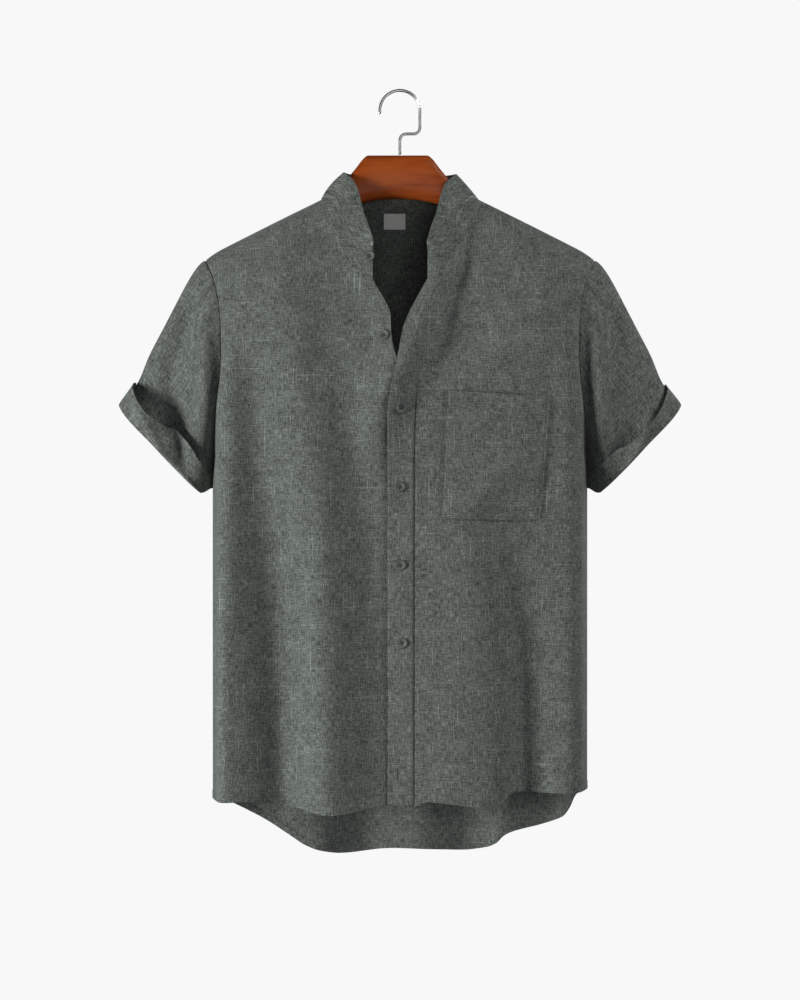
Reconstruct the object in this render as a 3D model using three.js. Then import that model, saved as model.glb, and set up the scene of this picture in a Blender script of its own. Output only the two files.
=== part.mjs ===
import * as THREE from "three";

// Short sleeved shirt with a mandarin collar, held by a wooden hanger.
// Millimetres. +Z is up, +X is to the viewer's right, the front of the shirt faces -Y.
// The origin is the highest point of the inside of the hook.

const FRONT = -1;
const BACK = 1;
const LEFT = -1;
const RIGHT = 1;
const DEG = Math.PI / 180;

// Cloth walls, and the gap left where two pieces are sewn together
const WALL = { panel: 1.2, placket: 1.6, collar: 1.6, sleeve: 1.2, cuff: 1.3, pocket: 1.0, label: 1.0 };
const SEAM = 0.3;
const COLLAR_STAND_OFF = 1.8;

// The body is a tube of rounded oblong section
const BODY = { half_width: 207.4, half_width_underarm: 206, widens_to: -450, power: 3.4, shoulder_round: 140 };
const SECTIONS = [
  { z: -860, front: 62, back: 52 },
  { z: -780, front: 64, back: 55 },
  { z: -600, front: 68, back: 61 },
  { z: -450, front: 72, back: 65 },
  { z: -300, front: 74, back: 66 },
  { z: -180, front: 73, back: 65 },
  { z: -70, front: 72, back: 64 },
];

// Shoulder line, from the side of the neck down to the sleeve
const SHOULDER = { neck_x: 87, neck_z: -119.5, slope: 0.512, crown: 30, droop_from: 196, droop: 0.008, tip_x: 216 };

// Cells of the panels: up to the armhole, beside it, and across
const CELLS = { below: 12, beside: 15, front: 20, back: 22, shoulder: 8, back_shoulder: 7, placket: 3, around: 30 };

// How closely the columns crowd towards the side seams, where 1 is even
const COLUMN_CROWDING = 1.2;

// The armhole is a loop on the body, narrowest in x at its middle
const ARMHOLE = { bottom: -397, half_depth: 46, mid_x: 197, top_flare: 3.2 };

// The body is drawn in round the neck
const NECK_EASE = { front: 0.36, back: 0.46, reach: 126, power: 1.4, half_x: 87, drop_front: 92, drop_back: 12 };

// Half of the neck seam and of the collar's rim, from the front end to the middle of the back
const NECK = [
  { run: 0, half: FRONT, seam_x: 30, seam_z: -208, rim_x: 30.5, rim_y: -52, rim_z: -168 },
  { run: 0.114, half: FRONT, seam_x: 50, seam_z: -197, rim_x: 33.5, rim_y: -45, rim_z: -156 },
  { run: 0.27, half: FRONT, seam_x: 69.5, seam_z: -168, rim_x: 39.5, rim_y: -31, rim_z: -137 },
  { run: 0.41, half: FRONT, seam_x: 75.5, seam_z: -141, rim_x: 45.5, rim_y: -24, rim_z: -114 },
  { run: 0.48, half: FRONT, seam_x: 79.5, seam_z: -128, rim_x: 50.5, rim_y: -17, rim_z: -102 },
  { run: 0.575, half: BACK, seam_x: 87, seam_z: -119.5, rim_x: 62.5, rim_y: -1, rim_z: -91 },
  { run: 0.66, half: BACK, seam_x: 73, seam_z: -122.5, rim_x: 59, rim_y: 14, rim_z: -90.5 },
  { run: 0.78, half: BACK, seam_x: 48, seam_z: -127.5, rim_x: 42, rim_y: 28, rim_z: -91.5 },
  { run: 1, half: BACK, seam_x: 0, seam_z: -131, rim_x: 0, rim_y: 37, rim_z: -93 },
];

// At the side of the neck the collar is taller and rounder on the image's left
const COLLAR_SIDE = [
  { side: LEFT, taller: 2, rounder: 3.5 },
  { side: RIGHT, taller: 0, rounder: 1 },
];
const COLLAR_SIDE_SPREAD = 0.14;

// Front edges: the under edge, the folded edge of the placket, and the seam beside it
const FRONT_EDGE = [
  { z: -860, under: 14, over: -13.5, seam: 15 },
  { z: -420, under: 14, over: -13.5, seam: 15 },
  { z: -360, under: 12.5, over: -14, seam: 16 },
  { z: -335, under: 5, over: -10.8, seam: 17.3 },
  { z: -320, under: 0, over: -8, seam: 18.3 },
  { z: -299, under: -4.2, over: -3.5, seam: 20.5 },
  { z: -279, under: -8.8, over: 0.3, seam: 25 },
  { z: -265, under: -10.3, over: 3.2, seam: 30 },
  { z: -250, under: -10.5, over: 9, seam: 37 },
  { z: -233, under: -17.5, over: 17.5, seam: 45 },
  { z: -220, under: -25, over: 24.5, seam: 50.5 },
  { z: -208, under: -30, over: 30, seam: 54 },
  { z: -150, under: -30, over: 30, seam: 60 },
];
// Heights at which the front edges are read for their ends, on their way into the hem and the neck seam
const EDGE_ENDS = { low: -790, top: -200 };

// Hems, from the image's left to its right
const FRONT_HEM = [
  { x: -207.4, z: -782 },
  { x: -196, z: -784.8 },
  { x: -174, z: -784 },
  { x: -143, z: -785.5 },
  { x: -119, z: -789 },
  { x: -75, z: -797.3 },
  { x: -54, z: -794.3 },
  { x: -31, z: -789.7 },
  { x: -14, z: -787.5 },
  { x: 16, z: -787.3 },
  { x: 31, z: -783 },
  { x: 53, z: -785 },
  { x: 88, z: -788.3 },
  { x: 109, z: -786.4 },
  { x: 122, z: -774 },
  { x: 133, z: -772.3 },
  { x: 163, z: -774 },
  { x: 190, z: -774.2 },
  { x: 207.4, z: -771.5 },
];
const BACK_HEM = [
  { x: -207.4, z: -782 },
  { x: -188, z: -792 },
  { x: -150, z: -812.5 },
  { x: -121, z: -831 },
  { x: -106, z: -840.5 },
  { x: -88, z: -847 },
  { x: -67, z: -849.6 },
  { x: -5, z: -844.3 },
  { x: 45, z: -845.5 },
  { x: 71, z: -846.3 },
  { x: 96, z: -843.3 },
  { x: 108, z: -838.5 },
  { x: 117, z: -829.5 },
  { x: 128, z: -824.5 },
  { x: 160, z: -816.5 },
  { x: 182, z: -808.5 },
  { x: 190, z: -798 },
  { x: 196, z: -784 },
  { x: 207.4, z: -771.5 },
];

// Long folds of the body, each at its x on the hem. A fold leans to x + lean at its top, and a negative
// height is a trough. All of them die away into the side seams.
const BODY_FOLDS = [
  { half: FRONT, x: -182, lean: 4, spread: 20, height: 4.5, top: -380 },
  { half: FRONT, x: -126, lean: -8, spread: 29, height: -9, top: -330 },
  { half: FRONT, x: -78, lean: -14, spread: 24, height: 6.5, top: -270 },
  { half: FRONT, x: -30, lean: -4, spread: 24, height: -2, top: -400 },
  { half: FRONT, x: 64, lean: 5, spread: 27, height: 5.5, top: -340 },
  { half: FRONT, x: 146, lean: -12, spread: 27, height: -9, top: -420 },
  { half: FRONT, x: 180, lean: 3, spread: 17, height: 5.5, top: -420 },
  { half: BACK, x: 168, lean: 4, spread: 21, height: 5, top: -420 },
  { half: BACK, x: 122, lean: -6, spread: 25, height: -7, top: -360 },
  { half: BACK, x: 76, lean: 9, spread: 23, height: 5.5, top: -240 },
  { half: BACK, x: 24, lean: -4, spread: 21, height: -4, top: -300 },
  { half: BACK, x: -34, lean: -7, spread: 24, height: 5, top: -260 },
  { half: BACK, x: -96, lean: 6, spread: 27, height: -7, top: -330 },
  { half: BACK, x: -150, lean: -6, spread: 24, height: 5.5, top: -400 },
];
const FOLD_FADE = { start: 207, whole: 186 };
const FOLD_GROWTH = 260;

// The front edges roll outwards beside the open neck
const ROLL = { from_edge: 12, spread: 9, height: 3.4, low: -340, high: -270 };

// Where the under front passes behind the placket
const UNDERLAP = { dip: 1.9, starts_x: -46, ends_x: -18 };
const PLACKET_LIFT = 0.5;

// Sleeves, drawn for +X: the loop of the opening and the form between
const SLEEVE = { end_x: 260.5, end_z: -395, end_a: 69, end_b: 38, tilt_x: 0.66, tilt_z: 0.751 };
// The sleeve's top rounds over just below the shoulder, runs straight, and is drawn in above the cuff
const SLEEVE_TOP = { cap: 5.5, early: 0.35, out_x: 0.87, out_z: 0.5, waist: 4, waist_at: 0.83, waist_spread: 0.12 };
// The end of the tube isn't flat: it reaches out at its top, bellies at front and back and is lifted underarm
const SLEEVE_END = { top_out: 4, belly: 5, belly_power: 1.3, under_from: -0.9, under_x: -4.8, under_z: 9 };
const SLEEVE_FOLDS = [
  { side: LEFT, half: FRONT, high_x: 222, mid_x: 232, low_x: 219, spread: 12, height: 7 },
  { side: LEFT, half: FRONT, high_x: 244, mid_x: 256, low_x: 250, spread: 11, height: -5 },
  { side: LEFT, half: BACK, high_x: 224, mid_x: 238, low_x: 226, spread: 13, height: 6 },
  { side: RIGHT, half: FRONT, high_x: 224, mid_x: 228, low_x: 224, spread: 11, height: 6 },
  { side: RIGHT, half: FRONT, high_x: 208, mid_x: 211, low_x: 212, spread: 7, height: -4 },
  { side: RIGHT, half: FRONT, high_x: 236, mid_x: 258, low_x: 268, spread: 12, height: 3 },
  { side: RIGHT, half: BACK, high_x: 226, mid_x: 236, low_x: 232, spread: 13, height: 6 },
];
const SLEEVE_FOLD_Z = { high: -215, mid: -320, low: -415, fade: 45 };

// Turned up cuff, cut across: out from the sleeve and up along it, flare opening with height
const CUFF_PROFILE = [
  { out: 0.1, up: -1.9, flare: 0 },
  { out: 1.7, up: -1.5, flare: 0 },
  { out: 2.6, up: 1.2, flare: 0.05 },
  { out: 2.8, up: 10, flare: 0.35 },
  { out: 2.8, up: 19, flare: 0.7 },
  { out: 2.8, up: 29, flare: 1 },
];
const CUFF_FLARE = [
  { turn: 0, flare: 0.4 },
  { turn: 35, flare: 5 },
  { turn: 65, flare: 7.5 },
  { turn: 100, flare: 5 },
  { turn: 150, flare: 1.5 },
  { turn: 180, flare: 0 },
  { turn: 210, flare: 1.5 },
  { turn: 260, flare: 4.5 },
  { turn: 310, flare: 4 },
  { turn: 360, flare: 0.4 },
];
// Height of the turned up band round each cuff, as a share of the tallest
const CUFF_TALL = [
  { turn: 0, right: 1, left: 0.93 },
  { turn: 30, right: 0.85, left: 0.72 },
  { turn: 62, right: 0.64, left: 0.48 },
  { turn: 80, right: 0.76, left: 0.44 },
  { turn: 96, right: 1.04, left: 0.48 },
  { turn: 108, right: 1.05, left: 0.7 },
  { turn: 130, right: 0.92, left: 0.8 },
  { turn: 148, right: 0.8, left: 0.84 },
  { turn: 165, right: 0.64, left: 0.68 },
  { turn: 180, right: 0.46, left: 0.46 },
  { turn: 205, right: 0.66, left: 0.66 },
  { turn: 270, right: 0.78, left: 0.76 },
  { turn: 330, right: 0.92, left: 0.88 },
  { turn: 360, right: 1, left: 0.93 },
];

// Breast pocket corners on the left front
const POCKET = {
  top_inner: { x: 50.5, z: -333 },
  top_outer: { x: 163.5, z: -340 },
  low_inner: { x: 44, z: -471.5 },
  low_outer: { x: 153, z: -473.5 },
  sag: 1.5,
};

// Buttons
const BUTTON = { radius: 6, thick: 2.2, bevel: 0.5, hole_at: 1.6, hole_radius: 0.75 };
const PLACKET_BUTTONS = [
  { x: 0.9, z: -352 },
  { x: -0.1, z: -438.5 },
  { x: 0.5, z: -524 },
  { x: 2.4, z: -609 },
];
const UNDER_BUTTON = { x: -17.5, z: -273.5 };
const COLLAR_BUTTON = { run: 0.03, rise: 0.5 };

// Bare label inside the back of the neck
const LABEL = { left: -18.1, right: 6.1, top: -134.5, low: -151.5 };

// Hanger: sections along x, counted from its middle
const HANGER_MIDDLE = -2.5;
const HANGER_ROUND = 0.78;
const HANGER = [
  { x: 0, top: -70.5, low: -119, half_depth: 9 },
  { x: 20, top: -70.5, low: -120, half_depth: 9 },
  { x: 33, top: -70.5, low: -122, half_depth: 9 },
  { x: 37, top: -73, low: -123, half_depth: 8.8 },
  { x: 46, top: -84, low: -125.5, half_depth: 8.5 },
  { x: 55, top: -95, low: -128.5, half_depth: 8 },
  { x: 66, top: -108, low: -132.5, half_depth: 7 },
  { x: 76, top: -119, low: -137, half_depth: 6 },
  { x: 86, top: -124.5, low: -142, half_depth: 6 },
];
const HANGER_ARM = { below_shoulder: 2.8, tall_neck: 19, tall_tip: 15, half_depth: 10, end_x: 207, steps: 7 };
const HANGER_TIP = { lower: 4, shorter: 8, thinner: 4 };

// Hook: bent wire
const HOOK = {
  wire: 1.7, loop: 22.2, foot_z: -70.2, elbow_z: -46.6, side_x: 22.2, bend: 7, tip_drop: 4, loop_steps: 8,
};

// Finishes by piece
const FINISH = {
  cloth: { color: 0x555b57, roughness: 0.88, metalness: 0 },
  button: { color: 0x3c423e, roughness: 0.36, metalness: 0 },
  label: { color: 0xb9b9b5, roughness: 0.55, metalness: 0 },
  wood: { color: 0x804221, roughness: 0.38, metalness: 0 },
  steel: { color: 0xb8b8b6, roughness: 0.25, metalness: 1 },
};

const clamp = (v, lo, hi) => Math.min(hi, Math.max(lo, v));
const mix = (a, b, t) => a + (b - a) * t;

function ramp(from, to, v) {
  const t = clamp((v - from) / (to - from), 0, 1);
  return t * t * (3 - 2 * t);
}

const bump = (offset, spread) => Math.exp(-((offset / spread) ** 2));

// Smooth reading of one column of a table, without overshoot between rows
function read(rows, key, value, column) {
  const v = clamp(value, rows[0][key], rows[rows.length - 1][key]);
  let i = 0;
  while (i < rows.length - 2 && v > rows[i + 1][key]) i++;
  const rise = (k) => (rows[k + 1][column] - rows[k][column]) / (rows[k + 1][key] - rows[k][key]);
  const slope = (k) => {
    if (k === 0) return rise(0);
    if (k === rows.length - 1) return rise(k - 1);
    const [a, b] = [rise(k - 1), rise(k)];
    return a * b <= 0 ? 0 : (2 * a * b) / (a + b);
  };
  const step = rows[i + 1][key] - rows[i][key];
  const t = (v - rows[i][key]) / step;
  const [p, q] = [rows[i][column], rows[i + 1][column]];
  const keep = 2 * t ** 3 - 3 * t ** 2 + 1;
  return (
    keep * p +
    (1 - keep) * q +
    step * ((t ** 3 - 2 * t ** 2 + t) * slope(i) + (t ** 3 - t ** 2) * slope(i + 1))
  );
}

function shoulderLine(x) {
  const away = Math.hypot(x, SHOULDER.crown) - Math.hypot(SHOULDER.neck_x, SHOULDER.crown);
  const droop = SHOULDER.droop * Math.max(0, Math.abs(x) - SHOULDER.droop_from) ** 2;
  return SHOULDER.neck_z - SHOULDER.slope * away - droop;
}

const TIP_Z = shoulderLine(SHOULDER.tip_x);
const ARM_MID = (TIP_Z + ARMHOLE.bottom) / 2;
const ARM_HALF = (TIP_Z - ARMHOLE.bottom) / 2;

// Share of the full depth the cloth has reached below the shoulder line
function shoulderShare(x, z) {
  const q = clamp((shoulderLine(x) - z) / BODY.shoulder_round, 0, 1);
  return Math.sqrt(1 - (1 - q) ** 2);
}

function armholeX(level) {
  const { mid_x, top_flare } = ARMHOLE;
  const up = Math.max(0, level) ** top_flare;
  const down = ramp(0, 1, -level);
  return mid_x + (SHOULDER.tip_x - mid_x) * up + (BODY.half_width_underarm - mid_x) * down;
}

const fullDepth = (half, z) => read(SECTIONS, "z", z, half === FRONT ? "front" : "back");

// Half width of the section at a height, and the turn at which the panel ends there
function sideEdge(half, z) {
  const level = Math.min((z - ARM_MID) / ARM_HALF, 0.9995);
  if (level <= -1) {
    const narrowed = ramp(BODY.widens_to, ARMHOLE.bottom, z);
    return { width: mix(BODY.half_width, BODY.half_width_underarm, narrowed), turn: 90 * DEG };
  }
  const height = ARM_MID + ARM_HALF * level;
  const x = armholeX(level);
  const depth = (ARMHOLE.half_depth * Math.sqrt(1 - level ** 2)) / shoulderShare(x, height);
  const share = (1 - (depth / fullDepth(half, height)) ** BODY.power) ** (1 / BODY.power);
  return { width: x / share, turn: Math.asin(share) };
}

function turnOf(half, x, z) {
  const { width } = sideEdge(half, z);
  return Math.sign(x) * Math.asin(Math.min(1, Math.abs(x) / width));
}

// How far the body is drawn in round the neck
function neckEase(half, x, z) {
  const { reach, power, half_x, drop_front, drop_back } = NECK_EASE;
  let away;
  if (half === FRONT) {
    const ring = Math.hypot(x / half_x, Math.min(0, z - SHOULDER.neck_z) / drop_front);
    away = Math.max(0, ring - 1) * drop_front;
  } else {
    away = Math.hypot(Math.max(0, Math.abs(x) - half_x), Math.max(0, SHOULDER.neck_z - drop_back - z));
  }
  const share = half === FRONT ? NECK_EASE.front : NECK_EASE.back;
  return 1 - share * (1 - clamp(away / reach, 0, 1)) ** power;
}

function bodyFold(half, x, z) {
  let height = 0;
  for (const fold of BODY_FOLDS) {
    if (fold.half !== half) continue;
    const grown = ramp(fold.top, fold.top - FOLD_GROWTH, z);
    height += fold.height * grown * bump(x - fold.x - fold.lean * (1 - grown), fold.spread);
  }
  return height * ramp(FOLD_FADE.start, FOLD_FADE.whole, Math.abs(x));
}

function edgeRoll(x, z) {
  const shown = ramp(ROLL.low, ROLL.high, z);
  if (shown === 0) return 0;
  const right = x - read(FRONT_EDGE, "z", z, "over");
  const left = read(FRONT_EDGE, "z", z, "under") - x;
  const beside = bump(right - ROLL.from_edge, ROLL.spread) + 0.6 * bump(left - ROLL.from_edge, ROLL.spread);
  return ROLL.height * shown * beside;
}

// A point of the body's outside. lift moves it out of the cloth.
function bodyPoint(half, turn, z, lift = 0) {
  const { width } = sideEdge(half, z);
  const [s, c] = [Math.sin(turn), Math.max(0, Math.cos(turn))];
  const x = width * s;
  const oblong = Math.max(0, 1 - Math.abs(s) ** BODY.power) ** (1 / BODY.power);
  let depth = fullDepth(half, z) * oblong * shoulderShare(x, z) * neckEase(half, x, z);
  if (half === FRONT) depth += edgeRoll(x, z);
  const out = bodyFold(half, x, z) + lift;
  return new THREE.Vector3(x + out * s, half * (depth + out * c), z);
}

// Outward normal of the body, measured from two short steps that stay on the cloth
function bodyNormal(half, turn, z) {
  const step = 0.4 * DEG;
  const here = bodyPoint(half, turn, z);
  const across = bodyPoint(half, turn > 0 ? turn - step : turn + step, z).sub(here);
  const down = bodyPoint(half, turn, z - 0.5).sub(here);
  const normal = across.cross(down).normalize();
  const outward = new THREE.Vector3(Math.sin(turn), half * Math.cos(turn), 0.4);
  return normal.dot(outward) < 0 ? normal.negate() : normal;
}

// A closed solid between an outer and an inner grid of points, both as rows of columns
function solid(name, outer, inner, ring = false) {
  const rows = outer.length;
  const columns = outer[0].length;
  const points = [...outer.flat(), ...inner.flat()];
  const at = (side, j, i) => (side * rows + j) * columns + (i % columns);
  const faces = [];
  const quad = (a, b, c, d) => faces.push(a, b, c, a, c, d);
  const last = ring ? columns : columns - 1;
  for (let j = 0; j < rows - 1; j++) {
    for (let i = 0; i < last; i++) {
      quad(at(0, j, i), at(0, j, i + 1), at(0, j + 1, i + 1), at(0, j + 1, i));
      quad(at(1, j, i), at(1, j + 1, i), at(1, j + 1, i + 1), at(1, j, i + 1));
    }
  }
  for (let i = 0; i < last; i++) {
    quad(at(0, 0, i), at(1, 0, i), at(1, 0, i + 1), at(0, 0, i + 1));
    quad(at(0, rows - 1, i), at(0, rows - 1, i + 1), at(1, rows - 1, i + 1), at(1, rows - 1, i));
  }
  if (!ring) {
    for (let j = 0; j < rows - 1; j++) {
      quad(at(0, j, 0), at(0, j + 1, 0), at(1, j + 1, 0), at(1, j, 0));
      quad(at(0, j, last), at(1, j, last), at(1, j + 1, last), at(0, j + 1, last));
    }
  }
  return meshOf(name, points, faces, name === "label" ? "label" : "cloth");
}

// A mesh from points and triangles, its faces turned to point out
function meshOf(name, points, faces, finish) {
  let volume = 0;
  for (let k = 0; k < faces.length; k += 3) {
    const [a, b, c] = [points[faces[k]], points[faces[k + 1]], points[faces[k + 2]]];
    volume += a.dot(b.clone().cross(c));
  }
  if (volume < 0) faces.reverse();
  const geometry = new THREE.BufferGeometry().setFromPoints(points).setIndex(faces);
  geometry.computeVertexNormals();
  const mesh = new THREE.Mesh(geometry, new THREE.MeshStandardMaterial(FINISH[finish]));
  mesh.name = name;
  return mesh;
}

// A panel of the body from a grid of turns and heights
function bodyPanel(name, half, grid, wall, lift = () => 0) {
  const shift = new THREE.Vector3(0, half * SEAM * 0.7, 0);
  const outer = [];
  const inner = [];
  for (const row of grid) {
    const normals = row.map((p) => bodyNormal(half, p.turn, p.z));
    const line = row.map((p, i) => {
      const x = bodyPoint(half, p.turn, p.z).x;
      return bodyPoint(half, p.turn, p.z).addScaledVector(normals[i], lift(x, p.z)).add(shift);
    });
    outer.push(line);
    inner.push(line.map((p, i) => p.clone().addScaledVector(normals[i], -wall)));
  }
  return solid(name, outer, inner);
}

// Heights of a panel's rows at its side: even below the armhole, then even round the armhole loop
function sideHeights(hem_z) {
  const { below, beside } = CELLS;
  const heights = [];
  for (let j = 0; j < below; j++) heights.push(mix(hem_z, ARMHOLE.bottom, j / below));
  for (let j = 0; j <= beside; j++) heights.push(ARM_MID - ARM_HALF * Math.cos((Math.PI * j) / beside));
  return heights;
}

// The same rows along an edge that runs between two other heights
function sharedHeights(side_heights, low_z, top_z) {
  const [from, to] = [side_heights[0], side_heights[side_heights.length - 1]];
  return side_heights.map((z) => mix(low_z, top_z, (z - from) / (to - from)));
}

// Columns crowd towards the side seams, where the body turns fastest
const crowd = (share) => share ** COLUMN_CROWDING;
const crowdBoth = (share) => (share < 0.5 ? crowd(2 * share) / 2 : 1 - crowd(2 - 2 * share) / 2);

// A grid filled in between a hem, a top line and two edges, in one block up to the armhole and one above
function fill(low, top, left, right, across_shares) {
  const armpit = CELLS.below;
  const between = (p, q, t) => ({ turn: mix(p.turn, q.turn, t), z: mix(p.z, q.z, t) });
  const middle = (u) => between(left[armpit], right[armpit], u);
  return left.map((_, j) => {
    const below = j < armpit;
    const [from, to] = below ? [0, armpit] : [armpit, left.length - 1];
    const [base, head] = below ? [low, middle] : [middle, top];
    const v = (left[j].z - left[from].z) / (left[to].z - left[from].z);
    return across_shares.map((u) => {
      const upward = between(base(u), head(u), v);
      const across = between(left[j], right[j], u);
      const shared = between(between(base(0), head(0), v), between(base(1), head(1), v), u);
      return { turn: upward.turn + across.turn - shared.turn, z: upward.z + across.z - shared.z };
    });
  });
}

const neckSeam = (run) => ({ x: read(NECK, "run", run, "seam_x"), z: read(NECK, "run", run, "seam_z") });
const NECK_SIDE = NECK.find((row) => row.half === BACK).run;

// Where along the neck seam a front edge at this distance from the middle meets it
function runAt(x) {
  let [low, high] = [0, NECK_SIDE];
  for (let k = 0; k < 30; k++) {
    const middle = (low + high) / 2;
    if (neckSeam(middle).x < x) low = middle;
    else high = middle;
  }
  return low;
}

const hemAt = (half, x) => read(half === FRONT ? FRONT_HEM : BACK_HEM, "x", x, "z");

// A front panel from the side seam to its own front edge
function frontPanel(name, side, column, shift, lift) {
  const columns = Array.from({ length: CELLS.front + 1 }, (_, i) => crowd(i / CELLS.front));
  const corner = columns[CELLS.shoulder];
  const edge = (z) => read(FRONT_EDGE, "z", z, column) + shift;
  const side_z = hemAt(FRONT, side * BODY.half_width);
  const edge_low = { x: edge(EDGE_ENDS.low), z: hemAt(FRONT, edge(EDGE_ENDS.low)) };
  const run_end = runAt(Math.abs(edge(EDGE_ENDS.top)));
  const edge_top = { x: side * neckSeam(run_end).x, z: neckSeam(run_end).z };
  const place = (x, z) => ({ turn: turnOf(FRONT, x, z), z });
  const low = (u) => {
    const turn = mix(side * 90 * DEG, turnOf(FRONT, edge_low.x, edge_low.z), u);
    const x = bodyPoint(FRONT, turn, side_z).x;
    return { turn, z: hemAt(FRONT, x) };
  };
  const top = (u) => {
    if (u < corner) {
      const x = mix(SHOULDER.tip_x, SHOULDER.neck_x, u / corner);
      return place(side * x, shoulderLine(x));
    }
    const seam = neckSeam(mix(NECK_SIDE, run_end, (u - corner) / (1 - corner)));
    return place(side * seam.x, seam.z);
  };
  const heights = sideHeights(side_z);
  const left = heights.map((z) => ({ turn: side * sideEdge(FRONT, z).turn, z }));
  const right = sharedHeights(heights, edge_low.z, edge_top.z).map((z) => place(edge(z), z));
  return bodyPanel(name, FRONT, fill(low, top, left, right, columns), WALL.panel, lift);
}

function backPanel(name) {
  const columns = Array.from({ length: CELLS.back + 1 }, (_, i) => crowdBoth(i / CELLS.back));
  const corner = columns[CELLS.back_shoulder];
  const [low_l, low_r] = [hemAt(BACK, -BODY.half_width), hemAt(BACK, BODY.half_width)];
  const place = (x, z) => ({ turn: turnOf(BACK, x, z), z });
  const low = (u) => {
    const turn = mix(-90 * DEG, 90 * DEG, u);
    return { turn, z: hemAt(BACK, bodyPoint(BACK, turn, low_l).x) };
  };
  const top = (u) => {
    const side = u < 0.5 ? LEFT : RIGHT;
    const in_from_tip = Math.min(u, 1 - u);
    if (in_from_tip < corner) {
      const x = mix(SHOULDER.tip_x, SHOULDER.neck_x, in_from_tip / corner);
      return place(side * x, shoulderLine(x));
    }
    const seam = neckSeam(mix(NECK_SIDE, 1, (in_from_tip - corner) / (0.5 - corner)));
    return place(side * seam.x, seam.z);
  };
  const edge = (side, from_z) => sideHeights(from_z).map((z) => ({ turn: side * sideEdge(BACK, z).turn, z }));
  return bodyPanel(name, BACK, fill(low, top, edge(LEFT, low_l), edge(RIGHT, low_r), columns), WALL.panel);
}

// The strip that carries the buttonholes
function placket(name) {
  const ends = (column, z) => read(FRONT_EDGE, "z", z, column);
  const low_at = (column) => hemAt(FRONT, ends(column, EDGE_ENDS.low));
  const low = { over: low_at("over"), seam: low_at("seam") };
  const seam_top = neckSeam(runAt(ends("seam", EDGE_ENDS.top))).z;
  const top = { over: NECK[0].seam_z - 3 * SEAM, seam: seam_top - 3 * SEAM };
  const heights = sideHeights(hemAt(FRONT, BODY.half_width));
  const over_heights = sharedHeights(heights, low.over, top.over);
  const grid = sharedHeights(heights, low.seam, top.seam).map((seam_z, j) => {
    const over_z = over_heights[j];
    return Array.from({ length: CELLS.placket + 1 }, (_, i) => {
      const w = i / CELLS.placket;
      const z = mix(over_z, seam_z, w);
      const x = mix(ends("over", over_z), ends("seam", seam_z), w);
      return { turn: turnOf(FRONT, x, z), z };
    });
  });
  return bodyPanel(name, FRONT, grid, WALL.placket, () => PLACKET_LIFT);
}

// Neck seam point on the body and rim point of the collar, for a run from -1 (left end) to 1 (right end)
function collarLine(along) {
  const side = along < 0 ? LEFT : RIGHT;
  const run = 1 - Math.abs(along);
  const half = run < NECK_SIDE ? FRONT : BACK;
  const seam = neckSeam(run);
  const base = bodyPoint(half, turnOf(half, side * seam.x, seam.z), seam.z);
  const rim = new THREE.Vector3(
    side * read(NECK, "run", run, "rim_x"),
    read(NECK, "run", run, "rim_y"),
    read(NECK, "run", run, "rim_z"),
  );
  const { taller, rounder } = COLLAR_SIDE.find((row) => row.side === side);
  const beside = bump(run - NECK_SIDE, COLLAR_SIDE_SPREAD);
  rim.z += taller * beside;
  return { base, rim, swell: side * rounder * beside };
}

function collarPoint(along, rise) {
  const { base, rim, swell } = collarLine(along);
  const tall = rim.distanceTo(base);
  const point = base.lerp(rim, mix(COLLAR_STAND_OFF / tall, 1, rise));
  point.x += swell * 4 * rise * (1 - rise);
  return point;
}

function collarNormal(along, rise) {
  const step = along > 0 ? -0.004 : 0.004;
  const here = collarPoint(along, rise);
  const round = collarPoint(along + step, rise).sub(here).multiplyScalar(Math.sign(step));
  const up = collarPoint(along, clamp(rise + 0.1, 0, 1)).sub(collarPoint(along, clamp(rise - 0.1, 0, 1)));
  return round.cross(up).normalize().negate();
}

function collar(name, across, up) {
  const outer = [];
  const inner = [];
  for (let j = 0; j <= up; j++) {
    const line = Array.from({ length: across + 1 }, (_, i) => mix(-1, 1, i / across));
    const wall = (s) => collarNormal(s, j / up).multiplyScalar(WALL.collar);
    outer.push(line.map((s) => collarPoint(s, j / up)));
    inner.push(line.map((s) => collarPoint(s, j / up).sub(wall(s))));
  }
  return solid(name, outer, inner);
}

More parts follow.
